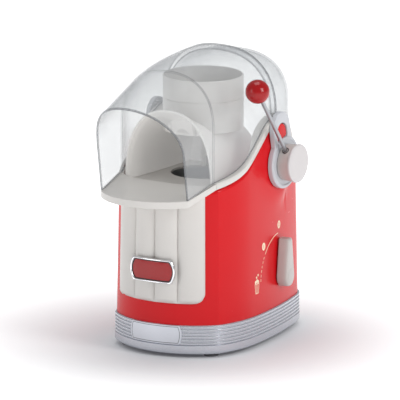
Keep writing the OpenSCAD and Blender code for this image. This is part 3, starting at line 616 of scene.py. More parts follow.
# Nodes that keep their own shape, by the finish that they wear
WORKS = {
    "black plastic": ("base_plate", "cord_gland", "rotary_switch", "thermostat"),
    "rubber": ("feet",),
    "steel": ("base_screws", "arm_screws", "lever_shaft", "return_spring", "knob_shaft",
        "motor_shaft"),
    "nylon": ("metering_drum", "pivot_bush_right", "pivot_bush_left", "terminal_block",
        "feed_throat"),
    "spun aluminium": ("popping_chamber",),
    "silicone": ("chamber_seal",),
    "duct metal": ("heater_duct", "motor_bracket"),
    "mica": ("mica_frame",),
    "heater wire": ("heater_coil",),
    "ceramic": ("thermal_fuse",),
    "housing nylon": ("blower_housing",),
    "fan metal": ("fan_rotor",),
    "motor steel": ("motor_body",),
    "board green": ("rectifier_board",),
}


def slide(start, end, t):
    return start + (end - start) * t


def ease(value, low, high):
    t = min(max((value - low) / (high - low), 0.0), 1.0)
    return t * t * (3 - 2 * t)


def axis_point(x=0.0):
    return at(x, AXIS_Y, AXIS_Z)


def hollow(obj, thickness, rim_shift=0, even=True):
    """Gives a sheet its wall, inwards from its outer face."""
    wall = obj.modifiers.new("wall", "SOLIDIFY")
    wall.thickness = thickness * MM
    wall.offset = -1
    wall.use_even_offset = even
    wall.material_offset_rim = rim_shift


# Base


class POPCORN_OT_band(bpy.types.Operator):
    """Ribbed silver band round the base, with the cord's hole"""
    bl_idname = "popcorn.band"
    bl_label = "Ribbed band"

    def execute(self, context):
        top, foot, proud = size("band_top"), size("foot_h"), size("band_proud")
        pitch, rib_deep, edge_r = size("rib_pitch"), 1.25, 5.0
        profile = [(0.4, top), (rib_deep - proud, top - 0.15)]
        half = (pitch - 0.7) / 2
        for i in range(size("rib_count")):
            crest = top - i * pitch - 0.3 - half
            profile += [(rib_deep * (1 - math.cos(a)) - proud, crest + half * math.sin(a))
                        for a in (math.radians(90 - 15 * k) for k in range(13))]
        under_ribs = top - size("rib_count") * pitch
        profile += [(-proud, under_ribs - 0.6), (-proud, slide(under_ribs, foot + edge_r, 0.5))]
        profile += [(edge_r * (1 - math.sin(a)) - proud, foot + edge_r * (1 - math.cos(a)))
                    for a in (math.radians(90 - 10 * k) for k in range(10))]
        profile += [(3.2, foot), (3.2, top - 0.2)]
        bm = bmesh.new()
        loft(bm, [[at(x, y, z) for x, y in plan(inset)] for inset, z in profile], tube=True)
        band = piece("base_band_ribbed", bm, "base", "silver_band", "silver paint",
                     ("base_band",), sharp=16.2)
        bored(band, [gland_bore()])
        return {"FINISHED"}


def gland_bore():
    """The cord's hole through the back of the band."""
    low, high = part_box("cord_gland")
    return Vector(((low.x + high.x) / 2, high.y, (low.z + high.z) / 2)), (0, 1, 0), 7.05, -40, 8


def bored(obj, bores):
    """Cuts round holes, each a centre, an axis, a radius and two ends, through a piece."""
    bm = bmesh.new()
    for centre, axis, radius, start, end in bores:
        lathe(bm, [(start, 0), (start, radius), (end, radius), (end, 0)], centre, axis, 40)
    bmesh.ops.recalc_face_normals(bm, faces=bm.faces)
    mesh = bpy.data.meshes.new("bore")
    bm.to_mesh(mesh)
    bm.free()
    cutter = bpy.data.objects.new("bore", mesh)
    bpy.context.scene.collection.objects.link(cutter)
    cut = obj.modifiers.new("bore", "BOOLEAN")
    cut.operation, cut.object, cut.solver = "DIFFERENCE", cutter, "EXACT"
    bpy.context.view_layer.update()
    done = bpy.data.meshes.new_from_object(
        obj.evaluated_get(bpy.context.evaluated_depsgraph_get()))
    obj.modifiers.clear()
    old, obj.data = obj.data, done
    bpy.data.objects.remove(cutter)
    bpy.data.meshes.remove(mesh)
    bpy.data.meshes.remove(old)


class POPCORN_OT_nameplate(bpy.types.Operator):
    """Blank brushed plate on the front of the band"""
    bl_idname = "popcorn.nameplate"
    bl_label = "Blank plate"

    def execute(self, context):
        half_w, half_h, bow_r = 36.0, 12.0, 25.0
        middle = size("band_top") - half_h - 0.2
        reach = FRONT_R + size("band_proud")

        def face(proud):
            def place(u, v):
                b = (2 * v - 1) * half_h
                a = (2 * u - 1) * (half_w - bow_r + math.sqrt(bow_r ** 2 - b * b))
                turn = math.asin(a / reach)
                r = reach + proud
                return at(r * math.sin(turn), FRONT_C[1] - r * math.cos(turn), middle + b)
            return place

        bm = bmesh.new()
        walled(bm, 36, 10, face(0.95), face(-1.2))
        piece("blank_nameplate", bm, "base", "nameplate_metal", "brushed plate",
              ("nameplate",), bevel=0.5)
        bm = bmesh.new()
        inset = 1.5

        def border(shrink, lift):
            """Loop round the plate, moved in from its rim and lifted off its face."""
            ring = []
            for k in range(96):
                side, along = divmod(k / 24, 1.0)
                share = {0: -1, 1: slide(-1, 1, along), 2: 1, 3: slide(1, -1, along)}[side]
                b = share * (half_h - inset - shrink)
                w = half_w - inset - shrink - bow_r + math.sqrt(bow_r ** 2 - b * b)
                a = {0: slide(-1, 1, along), 1: 1, 2: slide(1, -1, along), 3: -1}[side] * w
                r = reach + lift
                ring.append(at(r * math.sin(a / reach), FRONT_C[1] - r * math.cos(a / reach),
                               middle + b))
            return ring

        loft(bm, [border(0.0, 0.8), border(0.0, 0.99), border(0.7, 0.99), border(0.7, 0.8)],
             tube=True)
        piece("nameplate_border", bm, "base", "nameplate_metal", "dark line")
        return {"FINISHED"}


# Shell and front


class POPCORN_OT_shell(bpy.types.Operator):
    """Glossy red shell with its creases, swollen a little under the arms"""
    bl_idname = "popcorn.shell"
    bl_label = "Red shell"

    def execute(self, context):
        tight, loose = plan(8, 2), plan(0, 2)
        count = len(loose)

        def place(u, v):
            k = round(u * count) % count
            y = loose[k][1]
            top = under_tray(*loose[k]) - 0.2 if y < -0.05 else edge_z(y, 8.0)
            z = slide(12.0, top, v)
            t = wall_inset(z) / 8
            x, y = slide(loose[k][0], tight[k][0], t), slide(y, tight[k][1], t)
            away = math.hypot(y - AXIS_Y, z - AXIS_Z)
            proud = (BOSS_X - 0.2 - abs(x)) * (1 - ease(away, 34.0, 62.0))
            proud *= 1 - ease(y, 138.0, 172.0)
            return at(x + math.copysign(max(proud, 0.0) if y > 20 else 0.0, x), y, z)

        bm = bmesh.new()
        laid_grid(bm, count, 40, place)
        bmesh.ops.remove_doubles(bm, verts=bm.verts, dist=1e-6)
        shell = piece("red_shell_wall", bm, "base", "red_gloss", "red gloss", ("red_shell",),
                      sharp=12)
        hollow(shell, 2.4)
        bored(shell, [(axis_point(), (1, 0, 0), 10.4, -120, 120)])
        return {"FINISHED"}


class POPCORN_OT_panel(bpy.types.Operator):
    """Off-white front panel of four shallow flutes"""
    bl_idname = "popcorn.panel"
    bl_label = "Fluted panel"

    def execute(self, context):
        half_w, flute, corner = size("panel_half_w"), size("flute_h"), 14.0
        low, reach = 68.0, FRONT_R + 1.5

        def place(u, v):
            across = (2 * u - 1) * half_w
            turn = math.asin(across / reach)
            high = under_tray(across, FRONT_C[1] - reach * math.cos(turn))
            z = slide(low, high, v ** 1.25)
            room = half_w
            if z < low + corner:
                room = half_w - corner + math.sqrt(corner ** 2 - (low + corner - z) ** 2)
            x = min(max((2 * u - 1) * half_w, -room), room)
            across = (x / half_w + 1) * 2
            in_flute = 2 * (across % 1.0) - 1
            bulge = 0.92 * flute * max(0.0, 1 - abs(in_flute) ** 2.1) ** 0.62
            edge = ease(room - abs(x), 0.0, 2.2) * ease(z - low, -0.5, 5.0)
            r = reach + bulge * edge - wall_inset(z)
            turn = math.asin(x / reach)
            return at(r * math.sin(turn), FRONT_C[1] - r * math.cos(turn), z)

        bm = bmesh.new()
        laid_grid(bm, 120, 48, place)
        bmesh.ops.remove_doubles(bm, verts=bm.verts, dist=2e-6)
        panel = piece("fluted_panel", bm, "base", "white_plastic", "white plastic",
                      ("front_panel",), sharp=50)
        hollow(panel, 2.6, even=False)
        return {"FINISHED"}


def barrel(half_w, half_h, bow, steps=16):
    """Outline of the badge, (x, z): straight top and bottom, bowed ends."""
    r = (half_h ** 2 + bow ** 2) / (2 * bow)
    turn = math.asin(half_h / r)
    right = arc((half_w - r, 0), r, -turn, turn, steps)
    return right + [(-x, -z) for x, z in right]


class POPCORN_OT_badge(bpy.types.Operator):
    """Barrel badge: bright rim, dark inner line and plain red enamel"""
    bl_idname = "popcorn.badge"
    bl_label = "Enamel badge"

    def execute(self, context):
        half_w, half_h = size("badge_w") / 2, size("badge_h") / 2
        bow = size("badge_h") * 0.16
        middle, bend = 109.0, FRONT_R * 1.6
        face_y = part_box("badge_rim")[0].y / MM - Y_CORNER / MM

        def bent(a, b, back):
            """A point of the badge, set back from its front face, on its wide curve."""
            r = bend - back
            return at(r * math.sin(a / bend), face_y + bend - r * math.cos(a / bend), middle + b)

        def outline(shrink, back):
            rim = barrel(half_w - shrink, half_h - shrink, bow, 12)
            filled = []
            for (x0, z0), (x1, z1) in zip(rim, rim[1:] + rim[:1]):
                parts = 12 if abs(x1 - x0) > half_w else 1
                filled += [(slide(x0, x1, i / parts), slide(z0, z1, i / parts))
                           for i in range(parts)]
            return [bent(x, z, back) for x, z in filled]

        section = [(0.0, 3.4), (0.0, 1.3), (0.25, 0.6), (0.8, 0.12), (1.3, 0.0), (1.8, 0.12),
                   (2.2, 0.6), (2.35, 1.1), (2.5, 1.9), (2.5, 3.4)]
        bm = bmesh.new()
        loft(bm, [outline(s, b) for s, b in section], tube=True)
        piece("badge_rim_bright", bm, "base", "badge_chrome", "chrome", ("badge_rim",), sharp=40)
        bm = bmesh.new()
        loft(bm, [outline(s, b) for s, b in ((2.3, 3.4), (2.3, 1.7), (3.5, 1.6), (3.6, 3.4))],
             tube=True)
        piece("badge_dark_line", bm, "base", "black_plastic", "dark hole")

        def enamel(back):
            def place(u, v):
                b = (2 * v - 1) * (half_h - 3.4)
                r = (half_h ** 2 + bow ** 2) / (2 * bow)
                a = (2 * u - 1) * (half_w - 3.4 - r + math.sqrt(r * r - b * b))
                dome = (1 - (2 * u - 1) ** 4) * (1 - (2 * v - 1) ** 2)
                return bent(a, b, back - (0.9 * dome if back < 2 else 0))
            return place

        bm = bmesh.new()
        walled(bm, 40, 16, enamel(1.75), enamel(3.3))
        piece("badge_enamel", bm, "base", "badge_red", "red enamel", ("badge_inlay",), bevel=0.4)
        return {"FINISHED"}


# Tray, trim, cowl and hopper

class POPCORN_OT_tray(bpy.types.Operator):
    """Dished serving tray and the deck round the popping chamber"""
    bl_idname = "popcorn.tray"
    bl_label = "Serving tray"

    def execute(self, context):
        def spot(u, v):
            u = 2 * u - 1
            return (u, slide(MOUTH_HALF_W, TRAY_SIDE_W, v) * u,
                    mouth_y(MOUTH_HALF_W * u) * (1 - v))

        def over(u, v):
            u, x, y = spot(u, v)
            dish = (3 * math.sin(math.radians(90 * v * 2)) + 6 * v) * (1 - u ** 4)
            return at(x, y, LIP_Z + TRAY_DROP * v - dish)

        def under(u, v):
            u, x, y = spot(u, v)
            return at(x, y, tray_under(v))

        bm = bmesh.new()
        walled(bm, 48, 28, over, under)
        piece("serving_tray", bm, "base", "white_plastic", "white plastic",
                     ("chute_tray",), sharp=42, bevel=1.5)
        bm = bmesh.new()
        edge = [at(x, max(y, -0.1), LIP_Z) for x, y in plan(6.4) if y > -2.5]
        hole = [at(x, y, LIP_Z) for x, y in arc((0, CHAMBER_Y), 40.0, 0, 2 * math.pi, 72)[:-1]]
        raised(bm, plate(bm, edge, [hole]), Vector((0, 0, 3 * MM)))
        piece("tray_deck", bm, "base", "white_plastic", "white plastic", bevel=0.8)
        return {"FINISHED"}


def trim_x(y, z):
    """Outer face of the trim: the wall's, easing out to the boss."""
    return slide(wall_x(y, z) + 0.15, BOSS_X, ease(y, 58.0, 92.0))


def trim_section(top, low, outer, depth):
    """Loop of points round the trim at one place: top and low are (y, z)."""
    (yt, zt), (yl, zl) = top, low
    shape = ((0.0, 0.12), (0.0, 0.88), (0.35, 0.965), (1.1, 1.0), (depth, 1.0), (depth, 0.0),
             (1.1, 0.0), (0.35, 0.035))
    return [at(outer(slide(yl, yt, h), slide(zl, zt, h)) - d, slide(yl, yt, h), slide(zl, zt, h))
            for d, h in shape]


class POPCORN_OT_trim(bpy.types.Operator):
    """White trim between the shell and the hoods, sweeping up round the bosses"""
    bl_idname = "popcorn.trim"
    bl_label = "White trim"

    def execute(self, context):
        bm = bmesh.new()
        rings = []
        for top, low in zip(edge_curve(0.0)[:-1], edge_curve(7.9)[:-1]):
            top = (max(top[0], 0.1), top[1])
            low = (max(low[0], 0.1), low[1])
            rings.append(trim_section(top, low, trim_x, slide(7, 16, ease(top[0], 60, 95))))
        capped(bm, loft(bm, rings))
        mirrored(bm)
        outline = [p for p in plan(0.0, 2) if p[1] > AXIS_Y + TRIM_BACK - 8.0]
        first = outline.index(max(outline, key=lambda p: (p[0], -p[1])))
        outline = outline[first:] + outline[:first]
        rings = []
        for x, y in outline:
            heading = Vector((x, y - BACK_Y * 0.55)).normalized()

            def spot(d, z):
                inset = wall_inset(z) - 0.15 + d
                x_here = x - heading.x * inset
                proud = (BOSS_X - d - abs(x_here)) * (1 - ease(y, 140.0, 178.0))
                return at(x_here + math.copysign(max(proud, 0.0), x), y - heading.y * inset, z)
            rings.append([spot(d, AXIS_Z - drop) for d, drop in (
                (0, 7.0), (0, 0.8), (0.35, 0.2), (1.1, 0), (7, 0), (7, 7.9), (1.1, 7.9),
                (0.35, 7.7))])
        capped(bm, loft(bm, rings))
        piece("white_trim", bm, "base", "white_plastic", "white plastic", ("trim_ring",), sharp=40)
        return {"FINISHED"}


COWL_W, COWL_BACK = 60.8, 137.5
DECK_TOP = 209.2


class POPCORN_OT_cowl(bpy.types.Operator):
    """Arched white cowl over the chamber and the kernel hopper behind it"""
    bl_idname = "popcorn.cowl"
    bl_label = "Cowl and hopper"

    def execute(self, context):
        def place(u, v):
            y = slide(2.0, COWL_BACK, v ** 1.3)
            f = max(0.0, (COWL_BACK - y) / (COWL_BACK - 2)) ** 2
            flare = 1.6 * (1 - ease(y, 2.0, 9.0))
            w = HOPPER_R + (COWL_W - HOPPER_R) * f + flare
            crown = HOPPER_Z - 0.2 + 34 * f + flare
            a = math.pi * u
            c, s = math.cos(a), math.sin(a)
            x = w * math.copysign(abs(c) ** 0.85, c)
            z = DECK_TOP + (crown - DECK_TOP) * s ** 0.85
            if math.hypot(x, y - CHAMBER_Y) < HOPPER_R - 1.0:
                z = min(z, HOPPER_Z - 0.4)
            return at(x, y, z)

        bm = bmesh.new()
        verts = laid_grid(bm, 64, 40, place)
        back = [e for e in rim_edges(bm, verts)
                if all(v.co.y > at(0, COWL_BACK - 0.01, 0).y for v in e.verts)]
        bmesh.ops.contextual_create(bm, geom=back)
        cowl = piece("chute_cowl", bm, "base", "white_plastic", "cowl plastic",
                     ("inner_chute",), sharp=35)
        hollow(cowl, 2.8)
        rounding = cowl.modifiers.new("rounded edges", "BEVEL")
        rounding.width, rounding.segments = 1.0 * MM, 3
        rounding.limit_method, rounding.angle_limit = "ANGLE", math.radians(60)
        bm = bmesh.new()
        centre = at(0, CHAMBER_Y, HOPPER_Z)
        wall = [(0, HOPPER_R - 2.5), (0, HOPPER_R), (38, HOPPER_R), (38.4, HOPPER_R - 0.5),
                (38.9, HOPPER_R), (64.6, HOPPER_R), (65.6, HOPPER_R - 0.4),
                (HOPPER_H, HOPPER_R - 1.2), (65.6, HOPPER_R - 2.1), (64.6, HOPPER_R - 2.5),
                (4.5, HOPPER_R - 2.5), (0, HOPPER_R - 2.5)]
        lathe(bm, wall, centre, (0, 0, 1), 96)
        floor = [at(x, y, HOPPER_Z) for x, y in arc((0, CHAMBER_Y), HOPPER_R - 2.5, 0,
                                                     2 * math.pi, 96)[:-1]]
        slot = [at(x, y, HOPPER_Z) for x, y in ((-14, 121), (14, 121), (14, 131), (-14, 131))]
        raised(bm, plate(bm, floor, [slot]), Vector((0, 0, 3 * MM)))
        piece("kernel_hopper", bm, "base", "white_plastic", "white plastic", ("hopper_cup",))
        return {"FINISHED"}


# Clear hoods

CLEAR_T = 2.2
JUNCTION_W = 73.0 - LEAN * SHELL_H - 3.3
SEAM_W = BOSS_X - 3.8
DOME_Z, DOME_RISE = 284.0, 79.0
SEAM_Y = AXIS_Y - 4
MOUTH_TOP = 324.0
SEAT_GAP = 0.7
LEG = 0.1                     # share of an arch that each upright leg takes


def arch(u, half_w, spring, rise, foot, power):
    """(x, z) along an arch with upright legs, from the right foot to the left."""
    if u <= LEG:
        return half_w, slide(foot, spring, u / LEG)
    if u >= 1 - LEG:
        return -half_w, slide(foot, spring, (1 - u) / LEG)
    a = math.pi * (u - LEG) / (1 - 2 * LEG)
    c, s = math.cos(a), math.sin(a)
    return (half_w * math.copysign(abs(c) ** (2 / power), c),
            spring + rise * max(s, 0.0) ** (2 / power))


def hood_half_w(y):
    return SEAM_W - (SEAM_W - JUNCTION_W) * (1 - min(1.0, y / (0.65 * AXIS_Y))) ** 2.2


def dome_point(u, y):
    rise = DOME_RISE - 10.5 * (1 - math.sin(math.pi / 2 * min(1.0, y / SEAM_Y)))
    x, z = arch(u, hood_half_w(y), DOME_Z, rise, edge_z(y) + SEAT_GAP, 2.35)
    return x, y, z


def rim_point(u):
    spring = MOUTH_TOP - MOUTH_HALF_W
    x, z = arch(u, MOUTH_HALF_W, spring, MOUTH_HALF_W, LIP_Z + SEAT_GAP, 2.15)
    return x, mouth_y(x) - (z - LIP_Z) * math.tan(math.radians(9)), z


def laid_hood(bm, across, stops, place, edged):
    """Lays rows at the given stops and gives the rows in edged the second finish, the hoods'
    painted shade lines.
    """
    count = len(stops) - 1
    row = {}
    made = bmesh.ops.create_grid(bm, x_segments=across, y_segments=count, size=1)["verts"]
    for v in made:
        u, w = (v.co.x + 1) / 2, (v.co.y + 1) / 2
        row[v] = round(w * count)
        v.co = place(u, stops[row[v]])
    for face in bm.faces:
        face.material_index = int(min(row[v] for v in face.verts) in edged)


class POPCORN_OT_visor(bpy.types.Operator):
    """Front clear hood: spout-like visor running into the dome up to the seam"""
    bl_idname = "popcorn.visor"
    bl_label = "Front hood"

    def execute(self, context):
        def place(u, t):
            if t < 1:
                rim, joint = Vector(rim_point(u)), Vector(dome_point(u, 0.0))
                return at(*rim.lerp(joint, t))
            return at(*dome_point(u, (t - 1) * SEAM_Y))

        stops = ([0.0, 0.02] + [i / 8 for i in range(1, 8)] + [0.985, 1.0]
                 + [1 + i / 26 for i in range(1, 26)] + [1.988, 2.0])
        bm = bmesh.new()
        # Painted shade lines on the rows at the seat, the junction crease and the seam, and on the
        # wall's cut edges
        laid_hood(bm, 100, stops, place, {0, 9, len(stops) - 2})
        hood = piece("front_clear_hood", bm, "visor", "clear_hood", "clear hood",
                     ("front_hood",), edge_finish="clear edge", sharp=20)
        hollow(hood, CLEAR_T, 1)
        return {"FINISHED"}


class POPCORN_OT_rear_hood(bpy.types.Operator):
    """Rear clear hood: the fixed half of the dome behind the seam"""
    bl_idname = "popcorn.rear_hood"
    bl_label = "Rear hood"

    def execute(self, context):
        inset = 3.2 + CLEAR_T
        rear_w, rise, rear_y = SEAM_W - inset, DOME_RISE - inset, SEAM_Y - 3
        outline = [(x, y) for x, y in half_plan(MAX_HALF_W - rear_w, 2) if y > rear_y + 2]
        outline = [(rear_w, rear_y)] + outline
        outline += [(-x, y) for x, y in outline[-2::-1]]
        count = len(outline) - 1

        def base_z(y):
            share = min(1.0, abs(y - AXIS_Y) / (TRIM_BACK + SEAT_GAP))
            return AXIS_Z + max((TRIM_R + SEAT_GAP) * math.sqrt(1 - share ** 2), SEAT_GAP)

        def place(u, t):
            x, y = outline[round(u * count)]
            if t < 1:
                return at(x, y, slide(base_z(y), DOME_Z, t))
            a = math.pi / 2 * min(t - 1, 1.0)
            s = max(math.cos(a), 0.0) ** 0.87
            return at(x * s, rear_y + (y - rear_y) * s, DOME_Z + rise * math.sin(a) ** 0.87)

        stops = [0.0, 0.03] + [i / 5 for i in range(1, 6)] + [1 + i / 24 for i in range(1, 24)]
        stops += [1.985, 2.0]
        bm = bmesh.new()
        # Painted shade line on the row at the seat, and on the wall's cut edges
        laid_hood(bm, count, stops, place, {0})
        bmesh.ops.remove_doubles(bm, verts=bm.verts, dist=1e-6)
        hood = piece("rear_clear_hood", bm, "base", "clear_hood", "clear hood",
                     ("rear_hood",), edge_finish="clear edge", sharp=60)
        hollow(hood, CLEAR_T, 1)
        return {"FINISHED"}


# Hood arms

ARM_R, TONGUE_HALF, TONGUE_TIP = 33.0, 20.0, 66.0
ARM_LEAN = math.radians(12)


def arm_point(a, b, out):
    """A place on the right arm: a backwards and b up its length, out from its inner face."""
    return at(ARM_X + out, AXIS_Y + a * math.cos(ARM_LEAN) - b * math.sin(ARM_LEAN),
              AXIS_Z + a * math.sin(ARM_LEAN) + b * math.cos(ARM_LEAN))


def window_outline(grow):
    half, top, low, corner = 11.5 + grow, 39.5, 31.0 - grow, 3.0
    return (arc((0, top), half, 0, math.pi, 24)
            + arc((corner - half, low + corner), corner, math.pi, 1.5 * math.pi, 5)
            + arc((half - corner, low + corner), corner, 1.5 * math.pi, 2 * math.pi, 5))


def top_edges(bm, out):
    """Edges that lie on the plane that far out from the arm's inner face."""
    x = arm_point(0, 0, out).x
    return [e for e in bm.edges if all(abs(v.co.x - x) < 1e-6 for v in e.verts)
            and any(abs(f.normal.x) < 0.5 for f in e.link_faces)]


def slab(outline, low, high, rounding=0.0, hole=None):
    """A flat piece of the arm between two levels, with its outer edges rounded."""
    bm = bmesh.new()
    outer, *holes = [[arm_point(a, b, low) for a, b in points]
                     for points in (outline, hole) if points]
    raised(bm, plate(bm, outer, holes), Vector(((high - low) * MM, 0, 0)))
    bm.normal_update()
    if rounding:
        softened(bm, top_edges(bm, high), rounding, 4)
    return bm


class POPCORN_OT_arms(bpy.types.Operator):
    """Light grey hood arms with their red windows and the painted shadow round them"""
    bl_idname = "popcorn.arms"
    bl_label = "Hood arms"

    def execute(self, context):
        meet = math.acos(TONGUE_HALF / ARM_R)
        outline = (arc((0, TONGUE_TIP - TONGUE_HALF), TONGUE_HALF, 0, math.pi, 32)
                   + arc((0, 0), ARM_R, math.pi - meet, 2 * math.pi + meet, 72))
        for side, sign in (("right", 1), ("left", -1)):
            bm = slab(outline, 0.4, ARM_T, 1.1, window_outline(0.7))
            lathe(bm, [(ARM_X + ARM_T - 2.0, 31.9), (ARM_X + ARM_T + 0.3, 31.6),
                       (ARM_X + ARM_T + 0.75, 30.9), (ARM_X + ARM_T + 0.85, 29.9),
                       (ARM_X + ARM_T + 0.75, 28.9), (ARM_X + ARM_T + 0.3, 28.2),
                       (ARM_X + ARM_T - 2.0, 27.9), (ARM_X + ARM_T - 2.0, 31.9)],
                  axis_point(), (1, 0, 0), 80)
            self.to_side(bm, sign)
            piece(f"hood_arm_{side}_moulded", bm, "visor", "grey_plastic", "grey plastic",
                  (f"hood_arm_{side}",), sharp=32)
            bm = slab(window_outline(-0.5), 2.0, 5.2, 0.9)
            self.to_side(bm, sign)
            piece(f"arm_window_{side}", bm, "visor", "red_gloss", "red gloss",
                  (f"arm_inlay_{side}",), sharp=32)
            # Painted shadow: a near-black slab behind each red window shows as the dark gap round
            # it
            bm = slab(window_outline(0.6), 0.6, 1.9)
            self.to_side(bm, sign)
            piece(f"window_pocket_{side}", bm, "visor", "black_plastic", "dark hole")
        profile = [(0.0, 10.0), (0.0, 22.0), (0.4, 22.8), (4.4, 23.0), (5.4, 22.6), (5.9, 21.6),
                   (6.0, 20.0), (6.0, 17.2), (5.5, 16.6), (5.5, 0.0)]
        turned("pivot_cap_round", "base", "grey_plastic", "hub plastic",
               [(-HUB_X - a, r) for a, r in profile], axis_point(), (1, 0, 0),
               nodes=("pivot_cap_left",))
        return {"FINISHED"}

    def to_side(self, bm, sign):
        if sign < 0:
            for v in bm.verts:
                v.co.x = 2 * X_MIDDLE - v.co.x


# Lever

LEVER_X = HUB_X + HUB_LEN / 2
LEVER_LEAN = math.radians(38.4)
LEVER_WAY = Vector((0, -math.sin(LEVER_LEAN), math.cos(LEVER_LEAN)))


class POPCORN_OT_lever(bpy.types.Operator):
    """Side lever: grey hub, pale cap, steel rod and red ball"""
    bl_idname = "popcorn.lever"
    bl_label = "Side lever"

    def execute(self, context):
        hub_r, rod_r = size("hub_r"), size("rod_r")
        out = HUB_X + HUB_LEN
        turned("lever_hub_turned", "lever", "grey_plastic", "hub plastic", [
            (HUB_X + 1.0, 4.1), (HUB_X, 5.0), (HUB_X, hub_r - 1.2), (HUB_X + 0.35, hub_r - 0.35),
            (HUB_X + 1.2, hub_r), (out - 0.4, hub_r), (out - 0.1, hub_r - 0.4),
            (out, hub_r - 1.4), (out, 0.0)], axis_point(), (1, 0, 0), 96, ("lever_hub",), 30)
        cap_r = hub_r + 1
        turned("lever_cap_pale", "lever", "cap_plastic", "cap plastic", [
            (out + 0.1, 0.0), (out + 0.1, cap_r - 1.4), (out + 0.3, cap_r - 0.4),
            (out + 0.8, cap_r), (out + 2.2, cap_r), (out + 2.9, cap_r - 0.35),
            (out + 3.3, cap_r - 1.1), (out + 3.42, cap_r - 2.2), (out + 3.5, 12.0),
            (out + 3.5, 0.0)], axis_point(), (1, 0, 0), 96, ("lever_cap",), 30)
        foot = axis_point(LEVER_X)
        turned("rod_bushing", "lever", "black_plastic", "dark hole", [
            (hub_r - 3.5, rod_r), (hub_r - 3.5, rod_r + 2.4), (hub_r - 0.7, rod_r + 2.3),
            (hub_r + 0.15, rod_r + 1.7), (hub_r + 0.25, rod_r + 1.1),
            (hub_r - 0.4, rod_r + 0.5), (hub_r - 2.0, rod_r)], foot, LEVER_WAY, 40)
        reach, ball_r = size("lever_len"), size("ball_r")
        turned("lever_rod_steel", "lever", "rod_steel", "rod steel", [
            (hub_r - 9, 0.0), (hub_r - 9, rod_r * 0.97), (hub_r + 4, rod_r),
            (reach - ball_r - 2, rod_r * 0.96), (reach - ball_r + 3, rod_r * 0.96),
            (reach - ball_r + 3, 0.0)], foot, LEVER_WAY, 40, ("lever_rod",), 40)
        collar = 4.4
        low = math.asin(collar / ball_r)
        seat = reach - ball_r * math.cos(low)
        turns = [low + (math.pi - low) * k / 40 for k in range(41)]
        neck = [(seat - 0.2, rod_r * 0.96), (seat - 0.7, collar - 1.0), (seat - 0.5, collar - 0.3)]
        turned("lever_ball_gloss", "lever", "ball_red", "ball gloss",
               neck + [(reach - ball_r * math.cos(a), ball_r * math.sin(a)) for a in turns],
               foot, LEVER_WAY, 72, ("lever_ball",), 50)
        return {"FINISHED"}


# Selector knob and dial

KNOB_Y, KNOB_Z = 134.0, 78.0
KNOB_TURN = math.asin((KNOB_Y - SIDE_C[1]) / REAR_SIDE_R)
KNOB_REACH = 48.0


def knob_point(up, back, out):
    """A place on the knob: up its pointer, back across it and out from the wall."""
    c, s = math.cos(KNOB_TURN), math.sin(KNOB_TURN)
    x = wall_x(KNOB_Y, KNOB_Z)
    return at(x + out * c - back * s, KNOB_Y + out * s + back * c, KNOB_Z + up)


def pear(grow, knob_r):
    """Outline of the pointer: a round end drawn out to a narrow flat top."""
    r, top, half, corner = knob_r + grow, KNOB_REACH + grow, 6.5 + grow, 2.2
    lean = math.atan2(r - half, top)
    return (arc((0, 0), r, math.pi / 2 - lean, 1.5 * math.pi + lean, 40)
            + arc((top - corner, corner - half), corner, 1.5 * math.pi + lean, 2 * math.pi, 6)
            + arc((top - corner, half - corner), corner, 0, math.pi / 2 - lean, 6))


class POPCORN_OT_knob(bpy.types.Operator):
    """Pear-shaped selector knob on the right side"""
    bl_idname = "popcorn.knob"
    bl_label = "Selector knob"

    def execute(self, context):
        knob_r = size("knob_r")
        levels = [(-1.6, 0.8), (-1.2, 1.4), (0.0, 2.3), (0.0, 9.0), (-0.3, 12.6), (-0.8, 14.0),
                  (-1.7, 14.9), (-2.8, 15.3), (-3.8, 15.4)]
        bm = bmesh.new()
        loops = loft(bm, [[knob_point(a, b, out) for a, b in pear(grow, knob_r)]
                          for grow, out in levels])
        capped(bm, loops)
        piece("selector_pear_knob", bm, "knob", "grey_plastic", "knob plastic",
              ("selector_knob",), sharp=35)
        bm = bmesh.new()
        step = [(math.cos(t) * 9.4, math.sin(t) * 9.4) for t in
                (2 * math.pi * k / 48 for k in range(48))]
        loops = loft(bm, [[knob_point(a * g, b * g, out) for a, b in step]
                          for g, out in ((1.0, 15.2), (0.985, 15.55), (0.95, 15.7), (0.5, 15.78))])
        capped(bm, loops)
        piece("knob_centre_disc", bm, "knob", "grey_plastic", "knob plastic", sharp=35)
        return {"FINISHED"}


def on_dial(turn, radius, proud=0.12):
    """A place printed round the knob: turn forwards from straight up, in degrees."""
    y = KNOB_Y - radius * math.sin(math.radians(turn))
    z = KNOB_Z + radius * math.cos(math.radians(turn))
    return at(wall_x(y, z) + proud, y, z)


def printed(bm, across, along, place):
    walled(bm, across, along, lambda u, v: place(u, v, 0.14), lambda u, v: place(u, v, -0.2))


def printed_arc(bm, start, end, radius, width):
    count = max(2, round(abs(end - start) / 2.5))
    printed(bm, count, 1, lambda u, v, proud: on_dial(
        slide(start, end, u), radius + (v - 0.5) * width, proud))


def printed_spot(bm, y, z, half_y, half_z, hole=0.0, proud=0.14):
    """Oval spot, or a ring when hole is the share left open."""
    def place(u, v, out):
        a, r = 2 * math.pi * u, slide(hole, 1.0, v)
        py, pz = y + half_y * r * math.cos(a), z + half_z * r * math.sin(a)
        return at(wall_x(py, pz) + out + proud - 0.14, py, pz)
    verts = laid_grid(bm, 28, 3, lambda u, v: place(u, v, 0.14))
    bmesh.ops.remove_doubles(bm, verts=verts, dist=1e-7)


def printed_bar(bm, points, width):
    """A straight stroke between two (y, z) places."""
    (y0, z0), (y1, z1) = points
    run = math.hypot(y1 - y0, z1 - z0)
    across = ((z1 - z0) / run, -(y1 - y0) / run)

    def place(u, v, proud):
        y = slide(y0, y1, u) + across[0] * (v - 0.5) * width
        z = slide(z0, z1, u) + across[1] * (v - 0.5) * width
        return at(wall_x(y, z) + proud, y, z)
    printed(bm, 4, 1, place)


